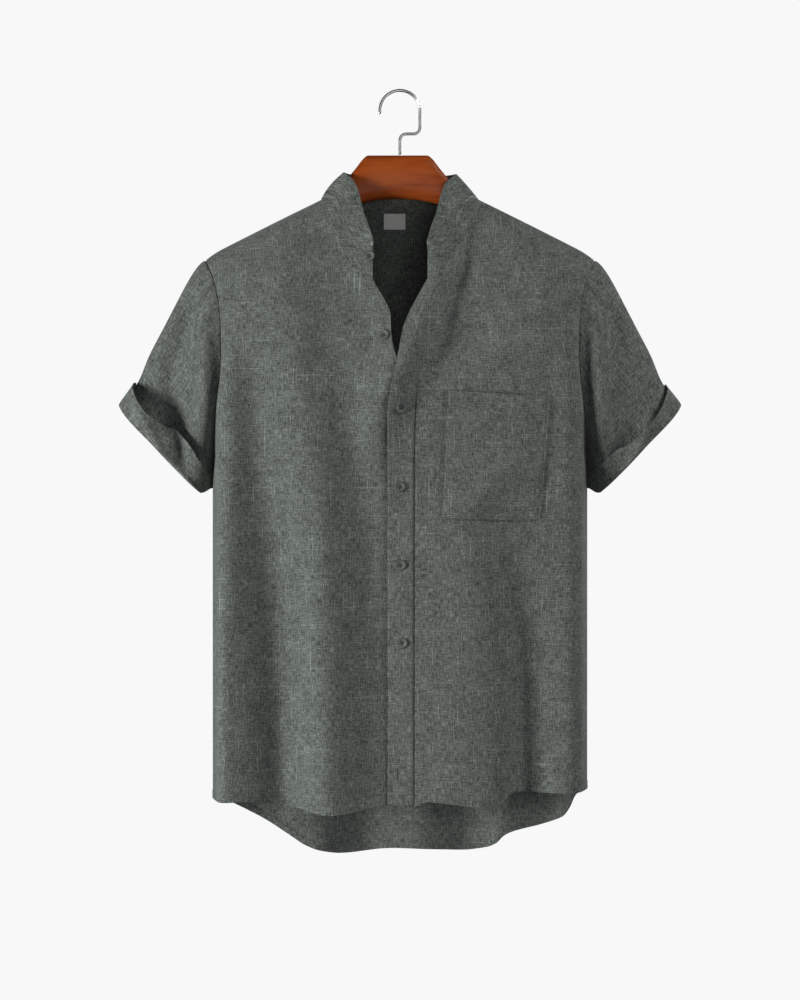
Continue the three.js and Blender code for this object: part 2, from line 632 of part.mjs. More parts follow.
// A point of a sleeve's outside. turn is 0 at the top and 90 at the front, along is 1 at the opening.
function sleevePoint(side, turn, along) {
  const [s, c] = [Math.sin(turn), Math.cos(turn)];
  const start = new THREE.Vector3(
    armholeX(c) + SEAM * 2.5,
    -ARMHOLE.half_depth * s,
    ARM_MID + ARM_HALF * c,
  );
  const top = ramp(0, 1, c) * SLEEVE_END.top_out;
  const under = ramp(SLEEVE_END.under_from, -1, c);
  const belly = SLEEVE_END.belly * Math.abs(s) ** SLEEVE_END.belly_power;
  const end = new THREE.Vector3(
    SLEEVE.end_x + SLEEVE.end_a * SLEEVE.tilt_x * c + top + SLEEVE_END.under_x * under + SLEEVE.tilt_z * belly,
    -SLEEVE.end_b * s,
    SLEEVE.end_z + SLEEVE.end_a * SLEEVE.tilt_z * c - top + SLEEVE_END.under_z * under - SLEEVE.tilt_x * belly,
  );
  const { cap, early, out_x, out_z, waist, waist_at, waist_spread } = SLEEVE_TOP;
  const rounded = cap * ((1 + c) / 2) ** 2 * Math.sin(Math.PI * along ** early) ** 2;
  const drawn_in = waist * bump(along - waist_at, waist_spread) * Math.max(0, c) ** 2;
  const point = start.lerp(end, along);
  point.x += (rounded - drawn_in) * out_x;
  point.z += (rounded - drawn_in) * out_z;
  const half = s > 0 ? FRONT : BACK;
  const { high, mid, low, fade } = SLEEVE_FOLD_Z;
  const free = ramp(0, 0.25, along) * Math.abs(s) ** 0.7;
  for (const fold of SLEEVE_FOLDS) {
    if (fold.side !== side || fold.half !== half) continue;
    const path = [
      { z: low, x: fold.low_x },
      { z: mid, x: fold.mid_x },
      { z: high, x: fold.high_x },
    ];
    const centre = read(path, "z", point.z, "x");
    const shown = ramp(low - fade, low, point.z);
    point.y += half * fold.height * free * shown * bump(point.x - centre, fold.spread);
  }
  point.x *= side;
  return point;
}

function sleeveNormal(side, turn, along) {
  const around = sleevePoint(side, turn + 0.03, along).sub(sleevePoint(side, turn - 0.03, along));
  const [a, b] = [clamp(along - 0.02, 0, 1), clamp(along + 0.02, 0, 1)];
  const down = sleevePoint(side, turn, b).sub(sleevePoint(side, turn, a));
  const normal = around.cross(down).multiplyScalar(side).normalize();
  const flat = new THREE.Vector3(0, -Math.sin(turn), Math.cos(turn));
  return flat.lerp(normal, ramp(0, 0.12, along)).normalize();
}

function sleeve(name, side, along) {
  const { around } = CELLS;
  const outer = [];
  const inner = [];
  for (let j = 0; j <= along; j++) {
    const down = (j / along) ** 1.25;
    const turns = Array.from({ length: around }, (_, i) => (2 * Math.PI * i) / around);
    outer.push(turns.map((t) => sleevePoint(side, t, down)));
    inner.push(turns.map((t) => sleevePoint(side, t, down).addScaledVector(sleeveNormal(side, t, down), -WALL.sleeve)));
  }
  return solid(name, outer, inner, true);
}

// A cuff's line across at one turn: outside and inside of the band
function cuffAt(side, turn, row, wall) {
  const here = sleevePoint(side, turn, 1);
  const tall = here.distanceTo(sleevePoint(side, turn, 0));
  const flare = read(CUFF_FLARE, "turn", turn / DEG, "flare") * row.flare;
  const radial = new THREE.Vector3(
    side * SLEEVE.tilt_x * Math.cos(turn) * SLEEVE.end_b,
    -Math.sin(turn) * SLEEVE.end_a,
    SLEEVE.tilt_z * Math.cos(turn) * SLEEVE.end_b,
  ).normalize();
  const share = read(CUFF_TALL, "turn", turn / DEG, side === LEFT ? "right" : "left");
  const up = clamp((row.up * share) / tall, 0, 1);
  const point = sleevePoint(side, turn, 1 - up);
  if (row.up < 0) point.add(new THREE.Vector3(side * SLEEVE.tilt_z, 0, -SLEEVE.tilt_x).multiplyScalar(-row.up));
  return point.addScaledVector(radial, row.out + flare - wall);
}

function cuff(name, side) {
  const { around } = CELLS;
  const turns = Array.from({ length: around }, (_, i) => (2 * Math.PI * i) / around);
  const outer = CUFF_PROFILE.map((row) => turns.map((t) => cuffAt(side, t, row, 0)));
  const inner = CUFF_PROFILE.map((row, j) => {
    const raised = j < 2 ? { ...row, up: row.up + WALL.cuff, out: row.out - (j ? 0.6 : 0) } : row;
    return turns.map((t) => cuffAt(side, t, raised, j < 2 ? 0 : WALL.cuff));
  });
  return solid(name, outer, inner, true);
}

function pocket(name, across, up) {
  const { top_inner, top_outer, low_inner, low_outer, sag } = POCKET;
  const grid = Array.from({ length: up + 1 }, (_, j) =>
    Array.from({ length: across + 1 }, (_, i) => {
      const [u, v] = [i / across, j / up];
      const x = mix(mix(low_inner.x, low_outer.x, u), mix(top_inner.x, top_outer.x, u), v);
      const z = mix(mix(low_inner.z, low_outer.z, u) - sag * 4 * u * (1 - u), mix(top_inner.z, top_outer.z, u), v);
      return { turn: turnOf(FRONT, x, z), z };
    }),
  );
  return bodyPanel(name, FRONT, grid, WALL.pocket, () => WALL.pocket + 1.5 * SEAM);
}

// A button with four holes, lying on a point of cloth
function button(name, point, normal) {
  const circle = (x, y, radius, count) =>
    Array.from({ length: count }, (_, k) => {
      const turn = (2 * Math.PI * k) / count;
      return new THREE.Vector2(x + radius * Math.cos(turn), y + radius * Math.sin(turn));
    });
  const disc = new THREE.Shape(circle(0, 0, BUTTON.radius - BUTTON.bevel, 20));
  for (let k = 0; k < 4; k++) {
    const turn = (45 + 90 * k) * DEG;
    const [x, y] = [BUTTON.hole_at * Math.cos(turn), BUTTON.hole_at * Math.sin(turn)];
    disc.holes.push(new THREE.Path(circle(x, y, BUTTON.hole_radius, 6).reverse()));
  }
  const geometry = new THREE.ExtrudeGeometry(disc, {
    depth: BUTTON.thick - 2 * BUTTON.bevel,
    bevelThickness: BUTTON.bevel,
    bevelSize: BUTTON.bevel,
    bevelSegments: 1,
  });
  geometry.translate(0, 0, BUTTON.bevel + SEAM);
  const mesh = new THREE.Mesh(geometry, new THREE.MeshStandardMaterial(FINISH.button));
  mesh.name = name;
  mesh.quaternion.setFromUnitVectors(new THREE.Vector3(0, 0, 1), normal);
  mesh.position.copy(point);
  return mesh;
}

function onFront(x, z, lift) {
  const turn = turnOf(FRONT, x, z);
  const normal = bodyNormal(FRONT, turn, z);
  return { point: bodyPoint(FRONT, turn, z).addScaledVector(normal, lift), normal };
}

function label(name, across, up) {
  const grid = Array.from({ length: up + 1 }, (_, j) =>
    Array.from({ length: across + 1 }, (_, i) => {
      const x = mix(LABEL.left, LABEL.right, i / across);
      const z = mix(LABEL.low, LABEL.top, j / up);
      return { turn: turnOf(BACK, x, z), z };
    }),
  );
  return bodyPanel(name, BACK, grid, WALL.label, () => -WALL.panel - SEAM);
}

// Hanger: rounded sections strung along x
function hangerBar(name, around) {
  const neck = HANGER[HANGER.length - 1];
  const arm = Array.from({ length: HANGER_ARM.steps }, (_, k) => {
    const t = (k + 1) / HANGER_ARM.steps;
    const x = mix(neck.x, HANGER_ARM.end_x, t);
    const tip = k === HANGER_ARM.steps - 1 ? HANGER_TIP : { lower: 0, shorter: 0, thinner: 0 };
    const top = shoulderLine(x + Math.abs(HANGER_MIDDLE)) - HANGER_ARM.below_shoulder - tip.lower;
    const tall = mix(HANGER_ARM.tall_neck, HANGER_ARM.tall_tip, t) - tip.shorter;
    const half_depth = mix(neck.half_depth, HANGER_ARM.half_depth, Math.min(1, 2 * t)) - tip.thinner;
    return { x, top, low: top - tall, half_depth };
  });
  const right = [...HANGER, ...arm];
  const left = right.slice(1).reverse().map((row) => ({ ...row, x: -row.x }));
  const rings = [...left, ...right].map((row) =>
    Array.from({ length: around }, (_, i) => {
      const [s, c] = [Math.sin((2 * Math.PI * i) / around), Math.cos((2 * Math.PI * i) / around)];
      const y = row.half_depth * Math.sign(s) * Math.abs(s) ** HANGER_ROUND;
      const z = mix(row.low, row.top, 0.5 + 0.5 * Math.sign(c) * Math.abs(c) ** HANGER_ROUND);
      return new THREE.Vector3(row.x + HANGER_MIDDLE, y, z);
    }),
  );
  const points = rings.flat();
  const faces = [];
  for (let j = 0; j < rings.length - 1; j++) {
    for (let i = 0; i < around; i++) {
      const [a, b] = [j * around + i, j * around + ((i + 1) % around)];
      faces.push(a, b, b + around, a, b + around, a + around);
    }
  }
  for (let i = 1; i < around - 1; i++) {
    const end = (rings.length - 1) * around;
    faces.push(0, i + 1, i, end, end + i, end + i + 1);
  }
  return meshOf(name, points, faces, "wood");
}

// Hook: a wire that steps sideways above the bar and then loops over
function hangerHook(name, around, along) {
  const { loop, foot_z, elbow_z, side_x, bend, wire, tip_drop, loop_steps } = HOOK;
  const centre_z = wire - loop;
  const path = new THREE.CurvePath();
  const at = (x, z) => new THREE.Vector3(x, 0, z);
  path.add(new THREE.LineCurve3(at(0, foot_z), at(0, elbow_z - bend)));
  path.add(new THREE.QuadraticBezierCurve3(at(0, elbow_z - bend), at(0, elbow_z), at(bend, elbow_z)));
  path.add(new THREE.LineCurve3(at(bend, elbow_z), at(side_x - bend, elbow_z)));
  path.add(
    new THREE.QuadraticBezierCurve3(at(side_x - bend, elbow_z), at(side_x, elbow_z), at(side_x, elbow_z + bend)),
  );
  path.add(new THREE.LineCurve3(at(side_x, elbow_z + bend), at(loop, centre_z)));
  for (let k = 0; k < loop_steps; k++) {
    const [a, b] = [(Math.PI * k) / loop_steps, (Math.PI * (k + 1)) / loop_steps];
    const m = (a + b) / 2;
    const reach = loop / Math.cos((b - a) / 2);
    path.add(
      new THREE.QuadraticBezierCurve3(
        at(loop * Math.cos(a), centre_z + loop * Math.sin(a)),
        at(reach * Math.cos(m), centre_z + reach * Math.sin(m)),
        at(loop * Math.cos(b), centre_z + loop * Math.sin(b)),
      ),
    );
  }
  path.add(new THREE.LineCurve3(at(-loop, centre_z), at(-loop, centre_z - tip_drop)));
  const points = [];
  const faces = [];
  for (let j = 0; j <= along; j++) {
    const centre = path.getPointAt(j / along);
    const ahead = path.getTangentAt(j / along);
    const side = new THREE.Vector3(ahead.z, 0, -ahead.x).normalize();
    for (let i = 0; i < around; i++) {
      const turn = (2 * Math.PI * i) / around;
      const point = centre.clone().addScaledVector(side, wire * Math.cos(turn));
      point.y += wire * Math.sin(turn);
      points.push(point);
    }
  }
  for (let j = 0; j < along; j++) {
    for (let i = 0; i < around; i++) {
      const [a, b] = [j * around + i, j * around + ((i + 1) % around)];
      faces.push(a, b, b + around, a, b + around, a + around);
    }
  }
  for (let i = 1; i < around - 1; i++) {
    const end = along * around;
    faces.push(0, i + 1, i, end, end + i, end + i + 1);
  }
  return meshOf(name, points, faces, "steel");
}

const group = new THREE.Group();
const dip = (x) => -UNDERLAP.dip * ramp(UNDERLAP.starts_x, UNDERLAP.ends_x, x);
group.add(frontPanel("front_right", LEFT, "under", 0, dip));
group.add(frontPanel("front_left", RIGHT, "seam", SEAM));
group.add(placket("placket"));
group.add(backPanel("back"));
group.add(collar("collar", 44, 4));
group.add(sleeve("sleeve_right", LEFT, 10));
group.add(sleeve("sleeve_left", RIGHT, 10));
group.add(cuff("cuff_right", LEFT));
group.add(cuff("cuff_left", RIGHT));
group.add(pocket("pocket", 8, 8));

const collar_at = 1 - COLLAR_BUTTON.run;
const collar_normal = collarNormal(-collar_at, COLLAR_BUTTON.rise);
const collar_point = collarPoint(-collar_at, COLLAR_BUTTON.rise).addScaledVector(collar_normal, 2 * SEAM);
group.add(button("button_1", collar_point, collar_normal));
const under = onFront(UNDER_BUTTON.x, UNDER_BUTTON.z, dip(UNDER_BUTTON.x) + SEAM * 0.7);
group.add(button("button_2", under.point, under.normal));
PLACKET_BUTTONS.forEach(({ x, z }, k) => {
  const { point, normal } = onFront(x, z, PLACKET_LIFT + SEAM * 0.7);
  group.add(button(`button_${k + 3}`, point, normal));
});
group.add(label("label", 4, 3));
group.add(hangerBar("hanger_bar", 16));
group.add(hangerHook("hanger_hook", 8, 40));

export default group;
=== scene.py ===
"""Looks of the short sleeved shirt with a mandarin collar on its wooden hanger.

The cloth is worked out in millimetres with the same named sizes as its solids, on finer rows,
and turned to metres when a mesh is made. +X is to the viewer's right and the front faces -Y.
"""

import math
from types import SimpleNamespace as Sizes

import bpy
import numpy as np
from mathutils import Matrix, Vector


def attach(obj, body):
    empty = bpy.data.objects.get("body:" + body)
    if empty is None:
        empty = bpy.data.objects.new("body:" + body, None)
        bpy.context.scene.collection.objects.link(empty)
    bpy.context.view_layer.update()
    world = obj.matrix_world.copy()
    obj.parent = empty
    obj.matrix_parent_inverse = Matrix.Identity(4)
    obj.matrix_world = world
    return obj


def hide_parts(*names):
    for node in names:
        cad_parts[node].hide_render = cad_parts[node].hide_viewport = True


MM = 0.001
DEG = math.pi / 180
FRONT, BACK = -1, 1
LEFT, RIGHT = -1, 1

# Cloth walls, in millimetres
WALL = Sizes(panel=1.1, placket=1.5, collar=1.6, sleeve=1.1, cuff=1.3, pocket=0.9, label=0.6)
SEAM = 0.3
COLLAR_STAND_OFF = -1.4

# The body is a tube of rounded oblong section
BODY = Sizes(half_width=207.4, half_width_underarm=206, widens_to=-450, power=3.4, shoulder_round=140)
SECTIONS = {
    "z": [-860, -780, -600, -450, -300, -180, -70],
    "front": [62, 64, 68, 72, 74, 73, 72],
    "back": [52, 55, 61, 65, 66, 65, 64],
}
SHOULDER = Sizes(neck_x=87, neck_z=-119.5, slope=0.512, crown=30, droop_from=196, droop=0.008, tip_x=216)
ARMHOLE = Sizes(bottom=-397, half_depth=46, mid_x=197, top_flare=3.2, last_level=0.9995)
NECK_EASE = Sizes(front=0.36, back=0.46, reach=126, power=1.4, half_x=87, drop_front=92, drop_back=12)

# Half of the neck seam and of the collar's rim, from the front end to the middle of the back
NECK = {
    "run": [0, 0.114, 0.27, 0.41, 0.48, 0.575, 0.66, 0.78, 1],
    "seam_x": [30, 50, 69.5, 75.5, 79.5, 87, 73, 48, 0],
    "seam_z": [-208, -197, -168, -141, -128, -119.5, -122.5, -127.5, -131],
    "rim_x": [30.5, 33.5, 39.5, 45.5, 50.5, 62.5, 59, 42, 0],
    "rim_y": [-52, -45, -31, -24, -17, -1, 14, 28, 37],
    "rim_z": [-168, -156, -137, -114, -102, -91, -90.5, -91.5, -93],
}
NECK_SIDE = 0.575
# At the side of the neck the collar is taller and rounder on the image's left
COLLAR_SIDE = {LEFT: {"taller": 2, "rounder": 3.5}, RIGHT: {"taller": 0, "rounder": 1}}
COLLAR_SIDE_SPREAD = 0.14

# Front edges: the under edge, the folded edge of the placket, and the seam beside it
FRONT_EDGE = {
    "z": [-860, -420, -360, -335, -320, -299, -279, -265, -250, -233, -220, -208, -150],
    "under": [14, 14, 12.5, 5, 0, -4.2, -8.8, -10.3, -10.5, -17.5, -25, -30, -30],
    "over": [-13.5, -13.5, -14, -10.8, -8, -3.5, 0.3, 3.2, 9, 17.5, 24.5, 30, 30],
    "seam": [15, 15, 16, 17.3, 18.3, 20.5, 25, 30, 37, 45, 50.5, 54, 60],
}

# Where the front edges end, at the hem and at the neck
EDGE_ENDS = Sizes(low=-790, top=-200)

# Hems, from the image's left to its right
FRONT_HEM = {
    "x": [-207.4, -196, -174, -143, -119, -75, -54, -31, -14, 16, 31, 53, 88, 109, 122, 133, 163, 190, 207.4],
    "z": [-782, -784.8, -784, -785.5, -789, -797.3, -794.3, -789.7, -787.5, -787.3, -783, -785,
          -788.3, -786.4, -774, -772.3, -774, -774.2, -771.5],
}
BACK_HEM = {
    "x": [-207.4, -188, -150, -121, -106, -88, -67, -5, 45, 71, 96, 108, 117, 128, 160, 182, 190, 196, 207.4],
    "z": [-782, -792, -812.5, -831, -840.5, -847, -849.6, -844.3, -845.5, -846.3, -843.3, -838.5,
          -829.5, -824.5, -816.5, -808.5, -798, -784, -771.5],
}

# Long folds of the body, each at its x on the hem. A fold leans to x + lean at its top, and a negative
# height is a trough. All of them die away into the side seams.
BODY_FOLDS = {
    "half": [FRONT] * 7 + [BACK] * 7,
    "x": [-182, -126, -78, -30, 64, 146, 180, 168, 122, 76, 24, -34, -96, -150],
    "lean": [4, -8, -14, -4, 5, -12, 3, 4, -6, 9, -4, -7, 6, -6],
    "spread": [20, 29, 24, 24, 27, 27, 17, 21, 25, 23, 21, 24, 27, 24],
    "height": [4.5, -9, 6.5, -2, 5.5, -9, 5.5, 5, -7, 5.5, -4, 5, -7, 5.5],
    "top": [-380, -330, -270, -400, -340, -420, -420, -420, -360, -240, -300, -260, -330, -400],
}
FOLD_FADE = (207, 186)
FOLD_GROWTH = 260

# Creases laid on the body. Each runs down the cloth, its x, width and height read at its z
CREASES = [dict(zip(("half", "z", "x", "width", "height"), row)) for row in (
    (FRONT, [-800, -640, -450, -330, -230, -170, -128], [-72, -80, -96, -110, -122, -126, -128],
     [34, 33, 29, 24, 20, 18, 18], [7, 8, 9, 7, 4.5, 2.5, 0]),
    (FRONT, [-800, -640, -450, -330, -230], [-136, -140, -152, -158, -160],
     [23, 23, 22, 20, 18], [-13, -12, -10, -6, 0]),
    (FRONT, [-800, -640, -450, -330, -260], [-196, -196, -195, -193, -190],
     [20, 20, 19, 17, 16], [12, 13, 12, 8, 0]),
    (FRONT, [-800, -640, -450, -330, -230], [-10, -20, -44, -64, -86],
     [28, 27, 25, 20, 18], [-4, -5, -5, -4, 0]),
    (FRONT, [-800, -640, -520, -455], [100, 96, 82, 74],
     [26, 26, 24, 22], [5, 4.5, 3.5, 0]),
    (FRONT, [-800, -640, -520, -455], [144, 140, 124, 112],
     [20, 21, 22, 22], [-9, -6, -5, 0]),
    (FRONT, [-800, -640, -450, -330, -250], [196, 196, 195, 193, 190],
     [24, 24, 23, 20, 16], [10, 11, 11, 8, 0]),
    (FRONT, [-425, -386, -320, -253, -200, -160], [-30, -25, -6, 26, 42, 50],
     [20, 21, 24, 26, 25, 22], [0, 7, 14, 17.5, 16, 10]),
    (FRONT, [-330, -300, -240, -200, -165, -140], [34, 40, 54, 66, 77, 82],
     [12, 12, 12, 12, 11, 10], [0, -3, -7, -7.5, -5, 0]),
    (FRONT, [-345, -295, -243, -222, -200, -160], [-4, -2, -8, -20, -30, -40],
     [24, 26, 28, 28, 26, 24], [0, 5, 9, 9, 8, 4]),
    (FRONT, [-240, -200, -150], [90, 89, 86], [13, 13, 13], [0, 2.6, 0]),
    (FRONT, [-510, -480, -450, -424, -396], [34, 54, 84, 110, 134],
     [18, 22, 22, 22, 20], [0, 3, 4, 3, 0]),
    (FRONT, [-470, -440, -400], [150, 156, 160], [12, 12, 12], [0, -2, 0]),
    (BACK, [-840, -640, -450, -330, -220], [-184, -186, -184, -180, -176],
     [20, 21, 20, 18, 16], [3, 7, 6, 4, 0]),
    (BACK, [-840, -640, -450, -330, -240], [182, 184, 184, 182, 178],
     [20, 21, 20, 18, 16], [3, 6, 7, 4, 0]),
    (BACK, [-840, -600, -400, -280, -190], [58, 66, 84, 96, 104],
     [30, 30, 26, 22, 20], [-2, 5, 6, 4, 0]),
    (BACK, [-840, -620, -420, -300, -210], [-72, -78, -94, -104, -110],
     [32, 30, 26, 24, 20], [1, -4, -6, -4, 0]),
    (BACK, [-840, -620, -440, -360], [-22, -16, -6, 2],
     [26, 26, 22, 20], [1, 4, 3, 0]),
    (BACK, [-840, -660, -520], [122, 128, 132], [24, 22, 20], [2, -3, 0]),
)]
CREASE_FADE = (207, 198)

# The front edges roll outwards beside the open neck, the under edge less than the other
ROLL = Sizes(from_edge=12, spread=9, height=2.0, low=-340, high=-270, under_share=0.6)
# The under front sinks beside the placket's folded edge, and the placket lies on it below the neck
UNDERLAP = Sizes(dip=2.0, starts=-7, ends=-0.5)
PLACKET_LIFT = Sizes(height=1.0, none=-300, full=-335)

# Hem turned up, and the groove where two pieces are sewn
HEM = Sizes(deep=8.0, rise=0.45, soft=1.2)
TUCK = Sizes(depth=0.9, reach=1.15)
SEAM_FAINT = Sizes(share=0.2, left_x=(80, 96), right_x=(64, 78), z=(-300, -350))

# Sleeves, drawn for +X
SLEEVE = Sizes(end_x=260.5, end_z=-395, end_a=69, end_b=38, tilt_x=0.66, tilt_z=0.751)
# The sleeve's top rounds over just below the shoulder, runs straight, and is drawn in above the cuff
SLEEVE_TOP = Sizes(cap=5.5, early=0.35, out_x=0.87, out_z=0.5, waist=4, waist_at=0.83, waist_spread=0.12)
# The end of the tube isn't flat: it reaches out on top, bellies at front and back and is lifted underarm
SLEEVE_END = Sizes(
    top_out=4, belly=5, belly_power=1.3, under_from=-0.9, under_x=-5.6, under_z=9, under_fill=1.3
)
# Folds of the sleeves, their x read at the three heights below, soft at the armhole, on top and underarm
SLEEVE_FOLDS = [dict(zip(("side", "half", "x", "spread", "height"), row)) for row in (
    (LEFT, FRONT, [213, 212, 207], 13, 8),
    (LEFT, FRONT, [244, 251, 227], 13, -9),
    (LEFT, FRONT, [264, 285, 241], 13, 7),
    (LEFT, BACK, [226, 238, 224], 13, 6),
    (RIGHT, FRONT, [222, 219, 210], 10, 9),
    (RIGHT, FRONT, [205, 200, 195], 5, -4),
    (RIGHT, FRONT, [264, 281, 242], 15, 8),
    (RIGHT, BACK, [232, 236, 226], 13, 6),
)]
SLEEVE_FOLD_Z = [-415, -320, -215]
SLEEVE_FADE = 45
SLEEVE_FREE = Sizes(along=0.25, power=0.7)
# The sleeve's front sinks in just above the turned up cuff
SLEEVE_SINK = Sizes(deep=10, at=0.86, spread=0.15, back_from=0.92)
SLEEVE_TUCKED = 0.8

# Turned up cuff, cut across: out from the sleeve, up along it, and how much of the flare it has
CUFF_BAND = {
    "row": [0, 1, 2, 3, 4, 5],
    "outer_out": [0.1, 1.7, 2.6, 2.8, 2.8, 2.8],
    "outer_up": [-1.9, -1.5, 1.2, 10, 19, 29],
    "inner_out": [0.1, 1.1, 1.3, 1.5, 1.5, 1.5],
    "inner_up": [-0.6, -0.2, 1.2, 10, 19, 29],
    "flare": [0, 0, 0.05, 0.35, 0.7, 1],
}
CUFF_FLARE = {
    "turn": [0, 35, 65, 100, 150, 180, 210, 260, 310, 360],
    "right": [-0.9, 6.5, 9.5, 7.5, 2.5, 0, 1.5, 4.5, 4, -0.9],
    "left": [-0.9, 2.2, 3.8, 3.2, 1.2, 0, 1.5, 4.5, 4, -0.9],
}
# A sharp diagonal crease across the front of the cuff on the image's left
CUFF_CREASE = {
    "turn": [20, 45, 80, 120, 160],
    "row": [5.2, 4.2, 3.0, 1.9, 0.9],
    "height": [0, 4.5, 6.0, 5.0, 0],
}
CUFF_CREASE_SPREAD = 0.95
CUFF_CREASE_ROWS = (0.2, 1.5)
# Height of the turned up band round each cuff, as a share of the tallest
CUFF_TALL = {
    "turn": [0, 30, 62, 80, 96, 108, 130, 148, 165, 180, 205, 270, 330, 360],
    "right": [1, 0.85, 0.64, 0.76, 1.04, 1.05, 0.92, 0.8, 0.64, 0.46, 0.66, 0.78, 0.92, 1],
    "left": [0.93, 0.72, 0.48, 0.44, 0.48, 0.7, 0.8, 0.84, 0.68, 0.46, 0.66, 0.76, 0.88, 0.93],
}

# Breast pocket: its corners, how it sags, its double thick hem and how far it stands off the front
POCKET = {"top_inner": (50.5, -333), "top_outer": (163.5, -340),
          "low_inner": (44, -471.5), "low_outer": (153, -473.5)}
POCKET_SAG = 1.5
POCKET_HEM = Sizes(share=0.31, rise=0.35, soft=0.012)
POCKET_LIFT = Sizes(height=1.55, gape=0.9)
POCKET_STITCH = Sizes(depth=0.6, reach=0.8)

# Buttons, each with a rim, a dished middle, four holes and crossed threads, and the buttonholes
BUTTON = Sizes(
    radius=6, thick=2.2, face=1.7, rim_at=0.86, rim_high=0.5, rim_wide=0.8, dish=0.3, dish_from=0.8,
    dish_to=0.3, round_from=0.9, rounded=0.75, hole_at=1.6, hole_radius=0.72, hole_deep=1.3,
    hole_outer=0.25, hole_inner=0.1, back=0.15, back_from=0.8, back_rise=0.5
)
BUTTON_GRID = Sizes(rings=30, around=72, closer_out=0.9)
BUTTON_SEWING = Sizes(reach=0.78, arch=0.28, dive=0.25, points=9)
BUTTON_TURNED = 0.2
PLACKET_BUTTONS = [(0.9, -352), (-0.1, -438.5), (0.5, -524), (2.4, -609)]
UNDER_BUTTON = (-17.5, -273.5)
COLLAR_BUTTON = Sizes(run=0.03, rise=0.5)
LAST_HOLE = (-2.7, -753)
BUTTONHOLE = Sizes(half_tall=7.0, beside=0.5, points=7)

# Stitching, at its distance from the edge it follows
STITCH = Sizes(hem=7.4, edge=1.6, armhole=2.4, collar=2.1, pocket_hem=41, label=1.0)
# One stitch from end to end: where along it, how thick, and how high over the cloth
STITCH_PROFILE = {
    "share": [0.0, 0.16, 0.5, 0.84, 1.0],
    "wide": [0.25, 0.9, 1.0, 0.9, 0.25],
    "high": [-0.12, 0.02, 0.1, 0.02, -0.12],
}
STITCH_FORM = Sizes(sides=5, first=0.2, flat=0.8, look=0.6)

LABEL = Sizes(left=-18.1, right=6.1, top=-132.5, low=-149.5, clear=0.5)

# Hanger: sections along x, counted from its middle
HANGER_MIDDLE = -2.5
HANGER_ROUND = 0.78
HANGER = {
    "x": [0, 20, 33, 37, 46, 55, 66, 76, 86],
    "top": [-70.5, -70.5, -70.5, -73, -84, -95, -108, -119, -124.5],
    "low": [-119, -120, -122, -123, -125.5, -128.5, -132.5, -137, -142],
    "half_depth": [9, 9, 9, 8.8, 8.5, 8, 7, 6, 6],
}
HANGER_ARM = Sizes(
    below_shoulder=1.9, tall_neck=19, tall_tip=15, half_depth=10, end_x=207, round_from=200, steps=14
)
HOOK = Sizes(wire=1.7, loop=22.2, foot_z=-70.2, elbow_z=-46.6, side_x=22.2, bend=7, tip_drop=4, tip=1.6)

# How fine each grid is: even steps across, and the first step beside an edge as a share of the width
FINE = Sizes(front=(78, 0.003), back=(130, 0.0016), placket=(20, 0.011), pocket=(50, 0.0042))
EDGE_STEPS = np.array([0, 1, 2, 3.2, 4.8])
EDGE_STEPS_END = 1.5
COLUMNS = Sizes(collar=221, sleeve=168, label=26, hanger=64, hook=24)
ROWS = Sizes(label=20, placket_sewn=170, hook=180, hanger_half=120, hanger_end=12, hook_bend=12, hook_loop=60)
COLLAR_ROWS = np.concatenate([[0, 0.03, 0.06, 0.1], np.linspace(0.15, 0.9, 12), [0.94, 0.97, 1]])
SLEEVE_ROWS = np.concatenate([[0, 0.004, 0.009, 0.015, 0.024], np.linspace(0.035, 1, 58)])
CUFF_ROWS = np.concatenate([np.linspace(0, 2, 12, endpoint=False), np.linspace(2, 5, 26)])
POCKET_ROWS = np.concatenate([
    [0, 0.0035, 0.007, 0.011, 0.0155, 0.021], np.linspace(0.035, 0.96, 52), [0.972, 0.984, 0.992, 1]])
# The collar's foot is a little thicker, where it is sewn on
COLLAR_FOOT = Sizes(none=0.16, full=0.04, out=0.1, thick=0.2)

# Where the threads run: the height that is plain, and the place of each piece on the bolt of cloth
BOLT = Sizes(level=-330.0, steps=25, back=400, collar=31, cuff=600)
COLLAR_THREADS = Sizes(across_x=0.8, across_y=-0.6, slant=0.12)

# The weave's noise: repeats a metre across, down and through, detail, roughness, and its share of the tone
WEAVE = {
    "warp": ((820, 150, 1), 3.0, 0.55, 0.95),
    "weft": ((135, 820, 1), 3.0, 0.55, 0.8),
    "grain": ((1050, 1050, 1), 2.0, 0.8, 1.25),
    "patch": ((60, 45, 1), 3.0, 0.6, 0.35),
}
SLUBS = {"warp": ((620, 17, 3), 0.38), "weft": ((15, 620, 5), 0.3)}
SLUB_RANGE = (0.6, 0.78)
TONE_RANGE = (1.34, 2.18)
THREAD_PITCH = 0.00062
THREAD_HEIGHT = 0.12
CLOTH_DARK = (0.022, 0.027, 0.0235)
CLOTH_LIGHT = (0.335, 0.370, 0.337)
CLOTH_MIDDLE = Sizes(at=0.45, share=0.36)
SHIFTED = (1, 0.37, 1.7)

# The camera stands level in front of the middle of the picture
CAMERA = Sizes(distance=4.0, aim_z=-0.4529, view_height=1.11, sensor=36.0)
# Lights in metres: place, size and watts. The last one lights the back alone and isn't seen itself
LIGHTS = {
    "key": ((-3.08, -1.44, -0.85), 1.0, 122),
    "side": ((2.55, -1.2, 1.45), 1.2, 58),
    "fill": ((0.5, -3.9, -0.35), 1.6, 20),
    "behind": ((0.5, 1.3, -0.25), 1.2, 11),
}
# A floor that curves up into a backdrop, in metres
SWEEP = Sizes(front_y=-7.0, floor_z=-1.3, back_y=1.6, bend=0.8, top_z=4.0, half_width=7, shade=0.9387)


def mix(a, b, t):
    return a + (b - a) * t


